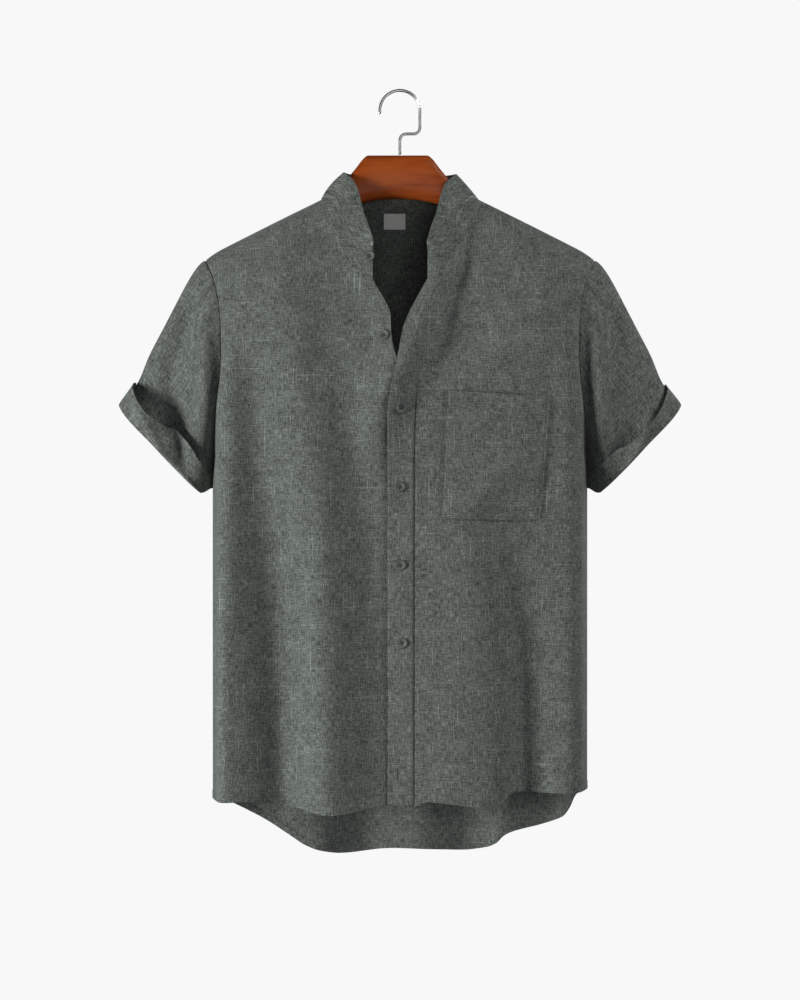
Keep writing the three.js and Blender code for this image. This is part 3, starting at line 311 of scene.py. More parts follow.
def ramp(start, end, v):
    t = np.clip((v - start) / (end - start), 0, 1)
    return t * t * (3 - 2 * t)


def bump(offset, spread):
    return np.exp(-((offset / spread) ** 2))


def read(table, value, column, key="z"):
    """Smooth reading of one column of a table, without overshoot between rows."""
    at, height = np.array(table[key], float), np.array(table[column], float)
    v = np.clip(value, at[0], at[-1])
    i = np.clip(np.searchsorted(at, v, side="left") - 1, 0, len(at) - 2)
    rise = np.diff(height) / np.diff(at)
    before, after = rise[:-1], rise[1:]
    same_way = before * after > 0
    total = np.where(same_way, before + after, 1)
    slope = np.concatenate([rise[:1], np.where(same_way, 2 * before * after / total, 0), rise[-1:]])
    step = at[i + 1] - at[i]
    t = (v - at[i]) / step
    keep = 2 * t**3 - 3 * t**2 + 1
    bend = (t**3 - 2 * t**2 + t) * slope[i] + (t**3 - t**2) * slope[i + 1]
    return keep * height[i] + (1 - keep) * height[i + 1] + step * bend


def unit(v):
    return v / np.maximum(np.linalg.norm(v, axis=-1, keepdims=True), 1e-9)


def shoulder_line(x):
    away = np.hypot(x, SHOULDER.crown) - math.hypot(SHOULDER.neck_x, SHOULDER.crown)
    droop = SHOULDER.droop * np.maximum(0, np.abs(x) - SHOULDER.droop_from) ** 2
    return SHOULDER.neck_z - SHOULDER.slope * away - droop


TIP_Z = float(shoulder_line(SHOULDER.tip_x))
ARM_MID = (TIP_Z + ARMHOLE.bottom) / 2
ARM_HALF = (TIP_Z - ARMHOLE.bottom) / 2


def shoulder_share(x, z):
    """Share of the full depth that the cloth has reached below the shoulder line."""
    q = np.clip((shoulder_line(x) - z) / BODY.shoulder_round, 0, 1)
    return np.sqrt(1 - (1 - q) ** 2)


def armhole_x(level):
    up = np.maximum(0, level) ** ARMHOLE.top_flare
    down = ramp(0, 1, -level)
    mid = ARMHOLE.mid_x
    return mid + (SHOULDER.tip_x - mid) * up + (BODY.half_width_underarm - mid) * down


def full_depth(half, z):
    return read(SECTIONS, z, "front" if half == FRONT else "back")


def side_edge(half, z):
    """Half width of the section at a height, and the turn at which the panel ends there."""
    level = np.minimum((np.asarray(z, float) - ARM_MID) / ARM_HALF, ARMHOLE.last_level)
    narrowed = ramp(BODY.widens_to, ARMHOLE.bottom, z)
    plain = mix(BODY.half_width, BODY.half_width_underarm, narrowed)
    beside = np.maximum(level, -1)
    height = ARM_MID + ARM_HALF * beside
    x = armhole_x(beside)
    depth = ARMHOLE.half_depth * np.sqrt(1 - beside**2) / np.maximum(shoulder_share(x, height), 1e-6)
    share = (1 - np.clip(depth / full_depth(half, height), 0, 0.999) ** BODY.power) ** (1 / BODY.power)
    return np.where(level <= -1, plain, x / share), np.where(level <= -1, 90 * DEG, np.arcsin(share))


def turn_of(half, x, z):
    width, _ = side_edge(half, z)
    return np.sign(x) * np.arcsin(np.minimum(1, np.abs(x) / width))


def neck_ease(half, x, z):
    """How far the body is drawn in round the neck."""
    n = NECK_EASE
    if half == FRONT:
        ring = np.hypot(x / n.half_x, np.minimum(0, z - SHOULDER.neck_z) / n.drop_front)
        away, share = np.maximum(0, ring - 1) * n.drop_front, n.front
    else:
        below = np.maximum(0, SHOULDER.neck_z - n.drop_back - z)
        away, share = np.hypot(np.maximum(0, np.abs(x) - n.half_x), below), n.back
    return 1 - share * (1 - np.clip(away / n.reach, 0, 1)) ** n.power


def body_fold(half, x, z):
    height = np.zeros_like(x)
    for side, centre, lean, spread, high, top in zip(*BODY_FOLDS.values()):
        if side != half:
            continue
        grown = ramp(top, top - FOLD_GROWTH, z)
        height = height + high * grown * bump(x - centre - lean * (1 - grown), spread)
    return height * ramp(*FOLD_FADE, np.abs(x))


def crease(half, x, z):
    height = np.zeros_like(x)
    for line in CREASES:
        if line["half"] != half:
            continue
        centre, width, high = (read(line, z, column) for column in ("x", "width", "height"))
        height = height + high * bump(x - centre, width)
    return height * ramp(*CREASE_FADE, np.abs(x))


def edge_roll(x, z):
    shown = ramp(ROLL.low, ROLL.high, z)
    right = bump(x - read(FRONT_EDGE, z, "over") - ROLL.from_edge, ROLL.spread)
    left = bump(read(FRONT_EDGE, z, "under") - x - ROLL.from_edge, ROLL.spread)
    return ROLL.height * shown * (right + ROLL.under_share * left)


def body_point(half, turn, z, plain=False):
    """A point of the body's outside."""
    width, _ = side_edge(half, z)
    s, c = np.sin(turn), np.maximum(0, np.cos(turn))
    x = width * s
    oblong = np.maximum(0, 1 - np.abs(s) ** BODY.power) ** (1 / BODY.power)
    depth = full_depth(half, z) * oblong * shoulder_share(x, z) * neck_ease(half, x, z)
    if half == FRONT:
        depth = depth + edge_roll(x, z)
    out = 0
    if not plain:
        out = body_fold(half, x, z)
        depth = depth + crease(half, x, z)
    return np.stack([x + out * s, half * (depth + out * c), z + 0 * x], axis=-1)


def grid_normals(points, outward):
    """Normals of a grid of points, turned to the side that outward names."""
    down = np.gradient(points, axis=0)
    across = np.gradient(points, axis=1)
    normal = unit(np.cross(across, down))
    flip = np.sign(np.sum(normal * outward, axis=-1, keepdims=True))
    return normal * np.where(flip == 0, 1, flip)


def placket_lift(x, z):
    return PLACKET_LIFT.height * ramp(PLACKET_LIFT.none, PLACKET_LIFT.full, z) + 0 * x


def seam_share(x, z):
    """The grooves at the neck and above the placket's first button are much fainter than the others."""
    aside = np.where(x < 0, ramp(*SEAM_FAINT.left_x, -x), ramp(*SEAM_FAINT.right_x, x))
    return mix(SEAM_FAINT.share, 1, np.maximum(aside, ramp(*SEAM_FAINT.z, z)))


def edge_distance(points, axis, from_end):
    """Length along the grid's lines from one of its edges."""
    step = np.linalg.norm(np.diff(points, axis=axis), axis=-1)
    run = np.cumsum(step, axis=axis)
    first = np.zeros_like(np.take(run, [0], axis=axis))
    run = np.concatenate([first, run], axis=axis)
    return np.take(run, [-1], axis=axis) - run if from_end else run


def tuck(points, edges):
    """The groove beside the sewn edges of a grid. edges names them as low, top, start and end."""
    places = {"low": (0, False), "top": (0, True), "start": (1, False), "end": (1, True)}
    depth = 0
    for name in edges:
        away = edge_distance(points, *places[name])
        depth = depth + TUCK.depth * bump(away, TUCK.reach)
    return -depth


def material(name, values):
    """A new material, its node tree, and its shader with the plain values given."""
    made = bpy.data.materials.new(name)
    made.use_nodes = True
    shader = made.node_tree.nodes["Principled BSDF"]
    for socket, value in values.items():
        shader.inputs[socket].default_value = value
    return made, made.node_tree, shader


def feed(target, socket, source):
    target.id_data.links.new(source, target.inputs[socket])


def node(tree, kind, inputs=(), **settings):
    made = tree.nodes.new("ShaderNode" + kind)
    for key, value in settings.items():
        setattr(made, key, value)
    for key, value in dict(inputs).items():
        if isinstance(value, bpy.types.NodeSocket):
            feed(made, key, value)
        else:
            made.inputs[key].default_value = value
    return made


def math_node(tree, operation, a, b=0.0):
    return node(tree, "Math", {0: a, 1: b}, operation=operation).outputs[0]


def weighted(tree, *parts):
    """The sum of some sockets, each times its share. parts is (socket, share)."""
    total = 0.0
    for socket, share in parts:
        total = math_node(tree, "ADD", total, math_node(tree, "MULTIPLY", socket, share))
    return total


def two_tone(tree, share, dark, light):
    return node(tree, "Mix", {0: share, 6: (*dark, 1), 7: (*light, 1)}, data_type="RGBA").outputs[2]


def map_range(tree, value, start, end):
    limits = dict(zip((1, 2, 3, 4), (*start, *end)))
    return node(tree, "MapRange", {0: value, **limits}).outputs[0]


def bump_map(tree, shader, height, strength, distance):
    relief = node(tree, "Bump", {"Strength": strength, "Distance": distance, "Height": height})
    feed(shader, "Normal", relief.outputs[0])


def colour_steps(tree, share, steps):
    """Colours between named places. steps is (place, colour), the first and last first."""
    made = node(tree, "ValToRGB", {0: share})
    elements = made.color_ramp.elements
    for k, (place, colour) in enumerate(steps):
        spot = elements[k] if k < 2 else elements.new(place)
        spot.position = place
        spot.color = (*colour, 1)
    return made.outputs[0]


def streaks(tree, where, scale, detail=3.0, rough=0.55, rotation=(0, 0, 0), distortion=0.0):
    """Noise drawn out along one way. scale is in repeats a metre, across and down."""
    spot = node(tree, "Mapping", {"Vector": where, "Scale": scale, "Rotation": rotation}).outputs[0]
    look = {"Vector": spot, "Scale": 1.0, "Detail": detail, "Roughness": rough, "Distortion": distortion}
    return node(tree, "TexNoise", look).outputs[0]


def cloth_material(name, seed, slubs=1.0):
    """Plain weave of uneven threads: long soft streaks both ways with thicker, paler slubs."""
    made, tree, shader = material(
        name, {"Specular IOR Level": 0.22, "Sheen Weight": 0.12, "Sheen Roughness": 0.45})
    uv = node(tree, "UVMap", uv_map="cloth").outputs[0]
    place = tuple(seed * share for share in SHIFTED)
    spot = node(tree, "Mapping", {"Vector": uv, "Location": place}).outputs[0]
    thread = weighted(tree, *((streaks(tree, spot, *look), share) for *look, share in WEAVE.values()))
    for scale, share in SLUBS.values():
        slub = streaks(tree, spot, scale, 2.0)
        thread = math_node(tree, "ADD", thread, map_range(tree, slub, SLUB_RANGE, (0.0, share * slubs)))
    tone = map_range(tree, thread, TONE_RANGE, (0.0, 1.0))
    middle = [mix(a, b, CLOTH_MIDDLE.share) for a, b in zip(CLOTH_DARK, CLOTH_LIGHT)]
    steps = [(0, CLOTH_DARK), (1, CLOTH_LIGHT), (CLOTH_MIDDLE.at, middle)]
    feed(shader, "Base Color", colour_steps(tree, tone, steps))
    feed(shader, "Roughness", map_range(tree, tone, (0.0, 1.0), (0.92, 0.78)))
    over = node(tree, "SeparateXYZ", {0: uv})
    cross = 1.0
    for axis in ("X", "Y"):
        turns = math_node(tree, "MULTIPLY", over.outputs[axis], 2 * math.pi / THREAD_PITCH)
        cross = math_node(tree, "MULTIPLY", math_node(tree, "SINE", turns), cross)
    raised = weighted(tree, (cross, THREAD_HEIGHT), (tone, 1.0))
    bump_map(tree, shader, raised, 0.5, 0.00035)
    return made


def button_material():
    """Pressed resin, grey green with a faint cloud in it."""
    made, tree, shader = material("button_resin", {"Roughness": 0.5, "Specular IOR Level": 0.3})
    spot = node(tree, "TexCoord").outputs["Object"]
    look = {"Vector": spot, "Scale": 260.0, "Detail": 4.0, "Distortion": 1.2}
    cloud = node(tree, "TexNoise", look).outputs[0]
    steps = [(0.3, (0.085, 0.094, 0.086)), (0.75, (0.150, 0.162, 0.150))]
    feed(shader, "Base Color", colour_steps(tree, cloud, steps))
    return made


def thread_material(name, dark, light):
    made, tree, shader = material(name, {"Roughness": 0.7, "Sheen Weight": 0.2})
    spot = node(tree, "TexCoord").outputs["Object"]
    fibre = node(tree, "TexNoise", {"Vector": spot, "Scale": 1400.0, "Detail": 2.0}).outputs[0]
    feed(shader, "Base Color", two_tone(tree, fibre, dark, light))
    return made


def label_material():
    """Bare satin ribbon, pale grey."""
    made, tree, shader = material("label_satin", {"Roughness": 0.5, "Sheen Weight": 0.15})
    uv = node(tree, "UVMap", uv_map="cloth").outputs[0]
    rib = streaks(tree, uv, (60, 2600, 1), 2.0)
    feed(shader, "Base Color", two_tone(tree, rib, (0.88, 0.88, 0.86), (0.97, 0.97, 0.95)))
    bump_map(tree, shader, rib, 0.35, 0.0002)
    return made


def wood_material():
    """Orange brown stained wood under a clear varnish, the grain along the hanger."""
    made, tree, shader = material("hanger_wood", {
        "Roughness": 0.42, "Specular IOR Level": 0.15, "Coat Weight": 0.08, "Coat Roughness": 0.16})
    spot = node(tree, "TexCoord").outputs["Object"]
    wave = streaks(tree, spot, (9, 60, 95), 5.0, 0.5, (0, 0.05, 0), 0.9)
    pores = streaks(tree, spot, (40, 700, 900), 3.0, 0.5)
    blend = weighted(tree, (wave, 0.8), (pores, 0.2))
    steps = [(0.3, (0.22, 0.038, 0.006)), (0.7, (0.40, 0.084, 0.013)), (0.5, (0.31, 0.057, 0.008))]
    feed(shader, "Base Color", colour_steps(tree, blend, steps))
    bump_map(tree, shader, pores, 0.12, 0.0003)
    return made


def steel_material():
    """Drawn wire, with fine scratches along it."""
    made, tree, shader = material("hook_steel", {"Metallic": 1.0})
    spot = node(tree, "TexCoord").outputs["Object"]
    scratch = streaks(tree, spot, (900, 900, 60), 3.0, 0.5)
    feed(shader, "Roughness", map_range(tree, scratch, (0.0, 1.0), (0.16, 0.34)))
    feed(shader, "Base Color", two_tone(tree, scratch, (0.62, 0.62, 0.62), (0.80, 0.80, 0.79)))
    return made


def make_mesh(name, points, faces, finish, uv=None, sharp=50):
    """A mesh object from points in millimetres. uv is given for each corner of each face."""
    mesh = bpy.data.meshes.new(name)
    mesh.from_pydata((np.asarray(points, float) * MM).tolist(), [], faces)
    mesh.polygons.foreach_set("use_smooth", [True] * len(mesh.polygons))
    if uv is not None:
        layer = mesh.uv_layers.new(name="cloth")
        layer.data.foreach_set("uv", (uv * MM).ravel())
    mesh.set_sharp_from_angle(angle=sharp * DEG)
    mesh.materials.append(finish)
    mesh.validate()
    made = bpy.data.objects.new(name, mesh)
    bpy.context.scene.collection.objects.link(made)
    return made


def tube_faces(count, wide, first=0, capped=True):
    """Faces between a tube's rings of points, with a cap at each end."""
    corner = lambda j, i: first + j * wide + i % wide
    faces = [(corner(j, i), corner(j, i + 1), corner(j + 1, i + 1), corner(j + 1, i))
             for j in range(count - 1) for i in range(wide)]
    if capped:
        faces.append(tuple(corner(0, i) for i in reversed(range(wide))))
        faces.append(tuple(corner(count - 1, i) for i in range(wide)))
    return faces


def shell(name, outer, inner, uv, finish, ring=False):
    """A closed thin shell between an outer and an inner grid of points. A ring's uv has one more column."""
    rows, columns = outer.shape[:2]
    wide = columns + 1 if ring else columns
    spot = np.arange(2 * rows * wide).reshape(2, rows, wide)
    out, back = spot

    def quads(a, b, c, d):
        return np.stack([a, b, c, d], axis=-1).reshape(-1, 4)

    faces = [
        quads(out[:-1, :-1], out[:-1, 1:], out[1:, 1:], out[1:, :-1]),
        quads(back[:-1, :-1], back[1:, :-1], back[1:, 1:], back[:-1, 1:]),
        quads(out[0, :-1], back[0, :-1], back[0, 1:], out[0, 1:]),
        quads(out[-1, :-1], out[-1, 1:], back[-1, 1:], back[-1, :-1]),
    ]
    if not ring:
        faces.append(quads(out[:-1, 0], out[1:, 0], back[1:, 0], back[:-1, 0]))
        faces.append(quads(out[:-1, -1], back[:-1, -1], back[1:, -1], out[1:, -1]))
    faces = np.concatenate(faces)
    side, row, column = np.unravel_index(faces, spot.shape)
    corners = np.ravel_multi_index((side, row, column % columns), (2, rows, columns))
    points = np.concatenate([outer.reshape(-1, 3), inner.reshape(-1, 3)])
    a, b, c, d = (points[corners[:, k]] for k in range(4))
    volume = np.sum(a * np.cross(b, c)) + np.sum(a * np.cross(c, d))
    flat = uv[row, column]
    if volume < 0:
        corners, flat = corners[:, ::-1], flat[:, ::-1]
    return make_mesh(name, points, corners.tolist(), finish, flat.reshape(-1, 2))


def cloth_uv(half, turn, z):
    """Where a point lies on the flat cloth, along its threads across and down."""
    steps = np.linspace(0, 1, BOLT.steps).reshape(-1, *([1] * np.ndim(turn)))
    around = body_point(half, turn[None] * steps, z[None] + 0 * steps)
    u = np.sign(turn) * np.sum(np.linalg.norm(np.diff(around, axis=0), axis=-1), axis=0)
    start = np.minimum(z, BOLT.level)
    upward = body_point(half, turn[None] + 0 * steps, start[None] + (z - start)[None] * steps, plain=True)
    v = start + np.sum(np.linalg.norm(np.diff(upward[..., 1:], axis=0), axis=-1), axis=0)
    return np.stack([u + (BOLT.back if half == BACK else 0), v], axis=-1)


def body_panel(name, half, turn, z, wall, finish, edges=(), lift=None, hemmed=False):
    """A panel of the body. Its sewn edges are tucked and its hem is turned up."""
    base = body_point(half, turn, z)
    outward = np.stack([np.sin(turn), half * np.cos(turn), 0.4 + 0 * turn], axis=-1)
    out = tuck(base, edges) * seam_share(base[..., 0], z) if edges else 0 * z
    if lift is not None:
        out = out + lift(base[..., 0], z)
    thick = wall
    if hemmed:
        up = z - hem_at(half, base[..., 0])
        turned = ramp(HEM.deep + HEM.soft, HEM.deep - HEM.soft, up)
        out = out + HEM.rise * turned
        thick = wall + 2 * HEM.rise * turned[..., None]
    outer = base + grid_normals(base, outward) * out[..., None]
    inner = outer - grid_normals(outer, outward) * thick
    made = shell(name, outer, inner, cloth_uv(half, turn, z), finish)
    return made, outer, inner


def spaced(count, fine, parts):
    """Rising shares from 0 to 1 in even parts, with fine steps next to both ends."""
    near = fine * EDGE_STEPS
    first = near[-1] * EDGE_STEPS_END
    inside = np.concatenate([[first], parts, [1 - first]])
    filled = [np.linspace(a, b, max(2, round(count * (b - a))), endpoint=False)
              for a, b in zip(inside, inside[1:])]
    return np.concatenate([near, *filled, [inside[-1]], (1 - near)[::-1]])


# Share of a panel's columns that end on the shoulder seam
FRONT_CORNER, BACK_CORNER = 0.333, 0.29
SIDE_ROWS = Sizes(below=84, beside=84, hem_rows=14, after_hem=2.5)


def side_heights(hem_z):
    """Heights of a panel's rows at its side: close at the hem, even to the armpit, then round the armhole."""
    tall = ARMHOLE.bottom - hem_z
    close = np.arange(SIDE_ROWS.hem_rows) / tall
    after = close[-1] + SIDE_ROWS.after_hem / tall
    shares = np.concatenate([close, np.linspace(after, 1, SIDE_ROWS.below, endpoint=False)])
    below = hem_z + tall * shares
    beside = ARM_MID - ARM_HALF * np.cos(np.pi * np.arange(SIDE_ROWS.beside + 1) / SIDE_ROWS.beside)
    return np.concatenate([below, beside]), len(shares)


def shared_heights(heights, low_z, top_z):
    return mix(low_z, top_z, (heights - heights[0]) / (heights[-1] - heights[0]))


def fill(low, top, left, right, u, armpit):
    """A grid between a hem, a top line and two edges, in one block up to the armhole and one above."""
    left, right = np.stack(left, -1), np.stack(right, -1)
    across = lambda j: mix(left[j][:, None, :], right[j][:, None, :], u[None, :, None])
    middle = mix(left[armpit][None], right[armpit][None], u[:, None])
    blocks = []
    for rows, base, head in (
        (slice(0, armpit), low, middle),
        (slice(armpit, len(left)), middle, top),
    ):
        z = left[rows, 1]
        end = left[armpit, 1] if rows.start == 0 else left[-1, 1]
        v = ((z - z[0]) / (end - z[0]))[:, None, None]
        upward = mix(base[None], head[None], v)
        corners = mix(mix(base[0], head[0], v), mix(base[-1], head[-1], v), u[None, :, None])
        blocks.append(upward + across(rows) - corners)
    grid = np.concatenate(blocks)
    return grid[..., 0], grid[..., 1]


def neck_seam(run):
    return read(NECK, run, "seam_x", "run"), read(NECK, run, "seam_z", "run")


def run_at(x):
    """Where along the neck seam a front edge at this distance from the middle meets it."""
    low, high = 0.0, NECK_SIDE
    for _ in range(30):
        middle = (low + high) / 2
        if neck_seam(middle)[0] < x:
            low = middle
        else:
            high = middle
    return low


def hem_at(half, x):
    return read(FRONT_HEM if half == FRONT else BACK_HEM, x, "z", "x")


def front_grid(side, column, u):
    corner = FRONT_CORNER
    edge = lambda z: read(FRONT_EDGE, z, column)
    side_z = float(hem_at(FRONT, side * BODY.half_width))
    low_x = float(edge(EDGE_ENDS.low))
    low_z = float(hem_at(FRONT, low_x))
    run_end = run_at(abs(float(edge(EDGE_ENDS.top))))
    turn = mix(side * 90 * DEG, float(turn_of(FRONT, low_x, low_z)), u)
    plain = body_point(FRONT, turn, side_z + 0 * u)
    low = np.stack([turn, hem_at(FRONT, plain[:, 0])], -1)
    shoulder_x = mix(SHOULDER.tip_x, SHOULDER.neck_x, np.minimum(u / corner, 1))
    seam_x, seam_z = neck_seam(mix(NECK_SIDE, run_end, np.clip((u - corner) / (1 - corner), 0, 1)))
    x = side * np.where(u < corner, shoulder_x, seam_x)
    z = np.where(u < corner, shoulder_line(shoulder_x), seam_z)
    top = np.stack([turn_of(FRONT, x, z), z], -1)
    heights, armpit = side_heights(side_z)
    left = (side * side_edge(FRONT, heights)[1], heights)
    edge_z = shared_heights(heights, low_z, float(neck_seam(run_end)[1]))
    right = (turn_of(FRONT, edge(edge_z), edge_z), edge_z)
    return fill(low, top, left, right, u, armpit)


def back_grid(u):
    corner = BACK_CORNER
    low_l, low_r = float(hem_at(BACK, -BODY.half_width)), float(hem_at(BACK, BODY.half_width))
    turn = mix(-90 * DEG, 90 * DEG, u)
    plain = body_point(BACK, turn, low_l + 0 * u)
    low = np.stack([turn, hem_at(BACK, plain[:, 0])], -1)
    side = np.where(u < 0.5, LEFT, RIGHT)
    inward = np.minimum(u, 1 - u)
    shoulder_x = mix(SHOULDER.tip_x, SHOULDER.neck_x, np.minimum(inward / corner, 1))
    seam_x, seam_z = neck_seam(mix(NECK_SIDE, 1, np.clip((inward - corner) / (0.5 - corner), 0, 1)))
    x = side * np.where(inward < corner, shoulder_x, seam_x)
    z = np.where(inward < corner, shoulder_line(shoulder_x), seam_z)
    top = np.stack([turn_of(BACK, x, z), z], -1)
    heights, armpit = side_heights(low_l)
    heights_r, _ = side_heights(low_r)
    left = (-side_edge(BACK, heights)[1], heights)
    right = (side_edge(BACK, heights_r)[1], heights_r)
    return fill(low, top, left, right, u, armpit)


def placket_grid(w):
    low = [float(hem_at(FRONT, read(FRONT_EDGE, EDGE_ENDS.low, column))) for column in ("over", "seam")]
    seam_top = float(neck_seam(run_at(float(read(FRONT_EDGE, EDGE_ENDS.top, "seam"))))[1])
    heights, _ = side_heights(float(hem_at(FRONT, BODY.half_width)))
    over_z = shared_heights(heights, low[0], NECK["seam_z"][0] - SEAM)
    seam_z = shared_heights(heights, low[1], seam_top - SEAM)
    z = mix(over_z[:, None], seam_z[:, None], w)
    x = mix(read(FRONT_EDGE, over_z, "over")[:, None], read(FRONT_EDGE, seam_z, "seam")[:, None], w)
    return turn_of(FRONT, x, z), z


def collar_point(along, rise):
    """A point of the collar's outside, for a run from -1 (left end) to 1 (right end)."""
    side = np.where(along < 0, LEFT, RIGHT)
    run = 1 - np.abs(along)
    x, z = neck_seam(run)
    fronts = body_point(FRONT, turn_of(FRONT, side * x, z), z)
    backs = body_point(BACK, turn_of(BACK, side * x, z), z)
    base = np.where((run < NECK_SIDE)[..., None], fronts, backs)
    rim = np.stack([side * read(NECK, run, "rim_x", "run"), read(NECK, run, "rim_y", "run"),
                    read(NECK, run, "rim_z", "run")], -1)
    beside = bump(run - NECK_SIDE, COLLAR_SIDE_SPREAD)
    taller, rounder = (np.where(side == LEFT, COLLAR_SIDE[LEFT][key], COLLAR_SIDE[RIGHT][key]) * beside
                       for key in ("taller", "rounder"))
    rim[..., 2] += taller
    tall = np.linalg.norm(rim - base, axis=-1)
    point = mix(base, rim, mix(COLLAR_STAND_OFF / tall, 1, rise)[..., None])
    point[..., 0] += side * rounder * 4 * rise * (1 - rise)
    return point


def sleeve_point(side, turn, along, sunk=True):
    """A point of a sleeve's outside. turn is 0 at the top and 90 at the front."""
    s, c = np.sin(turn), np.cos(turn)
    start = np.stack([armhole_x(c) - SLEEVE_TUCKED, -ARMHOLE.half_depth * s, ARM_MID + ARM_HALF * c], -1)
    e = SLEEVE_END
    top = ramp(0, 1, c) * e.top_out
    under = ramp(e.under_from, -1, c)
    belly = e.belly * np.abs(s) ** e.belly_power
    end = np.stack([
        SLEEVE.end_x + SLEEVE.end_a * SLEEVE.tilt_x * c + top + e.under_x * under
        + SLEEVE.tilt_z * belly,
        -SLEEVE.end_b * s,
        SLEEVE.end_z + SLEEVE.end_a * SLEEVE.tilt_z * c - top + e.under_z * under
        - SLEEVE.tilt_x * belly,
    ], -1)
    t = SLEEVE_TOP
    rounded = t.cap * ((1 + c) / 2) ** 2 * np.sin(np.pi * along ** t.early) ** 2
    drawn_in = t.waist * bump(along - t.waist_at, t.waist_spread) * np.maximum(0, c) ** 2
    point = mix(start, end, along[..., None])
    x = point[..., 0] + (rounded - drawn_in) * t.out_x - e.under_fill * under * np.sin(np.pi * along)
    y = point[..., 1]
    z = point[..., 2] + (rounded - drawn_in) * t.out_z
    if sunk:
        sink = SLEEVE_SINK
        inward = sink.deep * bump(along - sink.at, sink.spread) * ramp(1, sink.back_from, along)
        y = y + inward * np.maximum(0, s) ** SLEEVE_FREE.power
    free = ramp(0, SLEEVE_FREE.along, along) * np.abs(s) ** SLEEVE_FREE.power
    shown = ramp(SLEEVE_FOLD_Z[0] - SLEEVE_FADE, SLEEVE_FOLD_Z[0], z)
    for fold in SLEEVE_FOLDS:
        if fold["side"] != side:
            continue
        centre = read({"z": SLEEVE_FOLD_Z, "x": fold["x"]}, z, "x")
        here = np.where(s > 0, FRONT, BACK) == fold["half"]
        height = fold["half"] * fold["height"] * free * shown
        y = y + np.where(here, height * bump(x - centre, fold["spread"]), 0)
    return np.stack([side * x, y, z], -1)


def cuff_point(side, turn, face, row):
    """A point of a cuff's outer or inner face, across the band by its row."""
    here = sleeve_point(side, turn, 1 + 0 * turn, False)
    tall = np.linalg.norm(here - sleeve_point(side, turn, 0 * turn, False), axis=-1)
    degrees = (turn / DEG) % 360.0001
    worn = "right" if side == LEFT else "left"
    flare = read(CUFF_FLARE, degrees, worn, "turn") * read(CUFF_BAND, row, "flare", "row")
    if side == LEFT:
        off = row - read(CUFF_CREASE, degrees, "row", "turn")
        raised = read(CUFF_CREASE, degrees, "height", "turn") * bump(off, CUFF_CREASE_SPREAD)
        flare = flare + raised * ramp(*CUFF_CREASE_ROWS, row)
    radial = unit(np.stack([
        side * SLEEVE.tilt_x * np.cos(turn) * SLEEVE.end_b,
        -np.sin(turn) * SLEEVE.end_a,
        SLEEVE.tilt_z * np.cos(turn) * SLEEVE.end_b,
    ], -1))
    up = read(CUFF_BAND, row, face + "_up", "row")
    up = np.where(up > 0, up * read(CUFF_TALL, degrees, worn, "turn"), up)
    point = sleeve_point(side, turn, 1 - np.clip(up / tall, 0, 1), False)
    beyond = np.array([side * SLEEVE.tilt_z, 0, -SLEEVE.tilt_x])
    point = point + beyond * np.maximum(0, -up)[..., None]
    return point + radial * (read(CUFF_BAND, row, face + "_out", "row") + flare)[..., None]


def line_run(line):
    """Length along a line at each of its points."""
    return np.concatenate([[0], np.cumsum(np.linalg.norm(np.diff(line, axis=0), axis=-1))])


def at_run(values, run, at):
    return np.array([np.interp(at, run, values[:, k]) for k in range(3)])


def stitches(name, lines, finish, length=2.4, gap=0.9, radius=0.2, raise_by=0.08):
    """A row of short stitches along each line. A line is its points and their normals."""
    form = STITCH_FORM
    ring = np.arange(form.sides) / form.sides * 2 * np.pi
    points, faces = [], []
    for line, normal in lines:
        run = line_run(line)
        count = int(run[-1] / (length + gap))
        starts = (np.arange(count) + form.first) * (run[-1] / max(1, count))
        for start in starts:
            faces += tube_faces(len(STITCH_PROFILE["share"]), form.sides, len(points))
            for share, wide, high in zip(*STITCH_PROFILE.values()):
                at = min(start + share * length, run[-1])
                up = unit(at_run(normal, run, at))
                ahead, back = (at_run(line, run, place) for place in
                               (min(at + form.look, run[-1]), max(at - form.look, 0)))
                side = unit(np.cross(up, ahead - back))
                centre = at_run(line, run, at) + up * (raise_by + high)
                for a in ring:
                    across = side * math.cos(a) + up * math.sin(a) * form.flat
                    points.append(centre + across * radius * wide)
    return make_mesh(name, points, faces, finish, sharp=80)


def grid_line(points, normals, axis, at_mm, from_end=False):
    """A line across a grid at a distance from one of its edges."""
    away = edge_distance(points, axis, from_end)
    if axis == 0:
        points, normals, away = points.transpose(1, 0, 2), normals.transpose(1, 0, 2), away.T
    line, up = [], []
    for p, n, d in zip(points, normals, away):
        order = np.argsort(d)
        line.append([np.interp(at_mm, d[order], p[order, k]) for k in range(3)])
        up.append([np.interp(at_mm, d[order], n[order, k]) for k in range(3)])
    return np.array(line), unit(np.array(up))


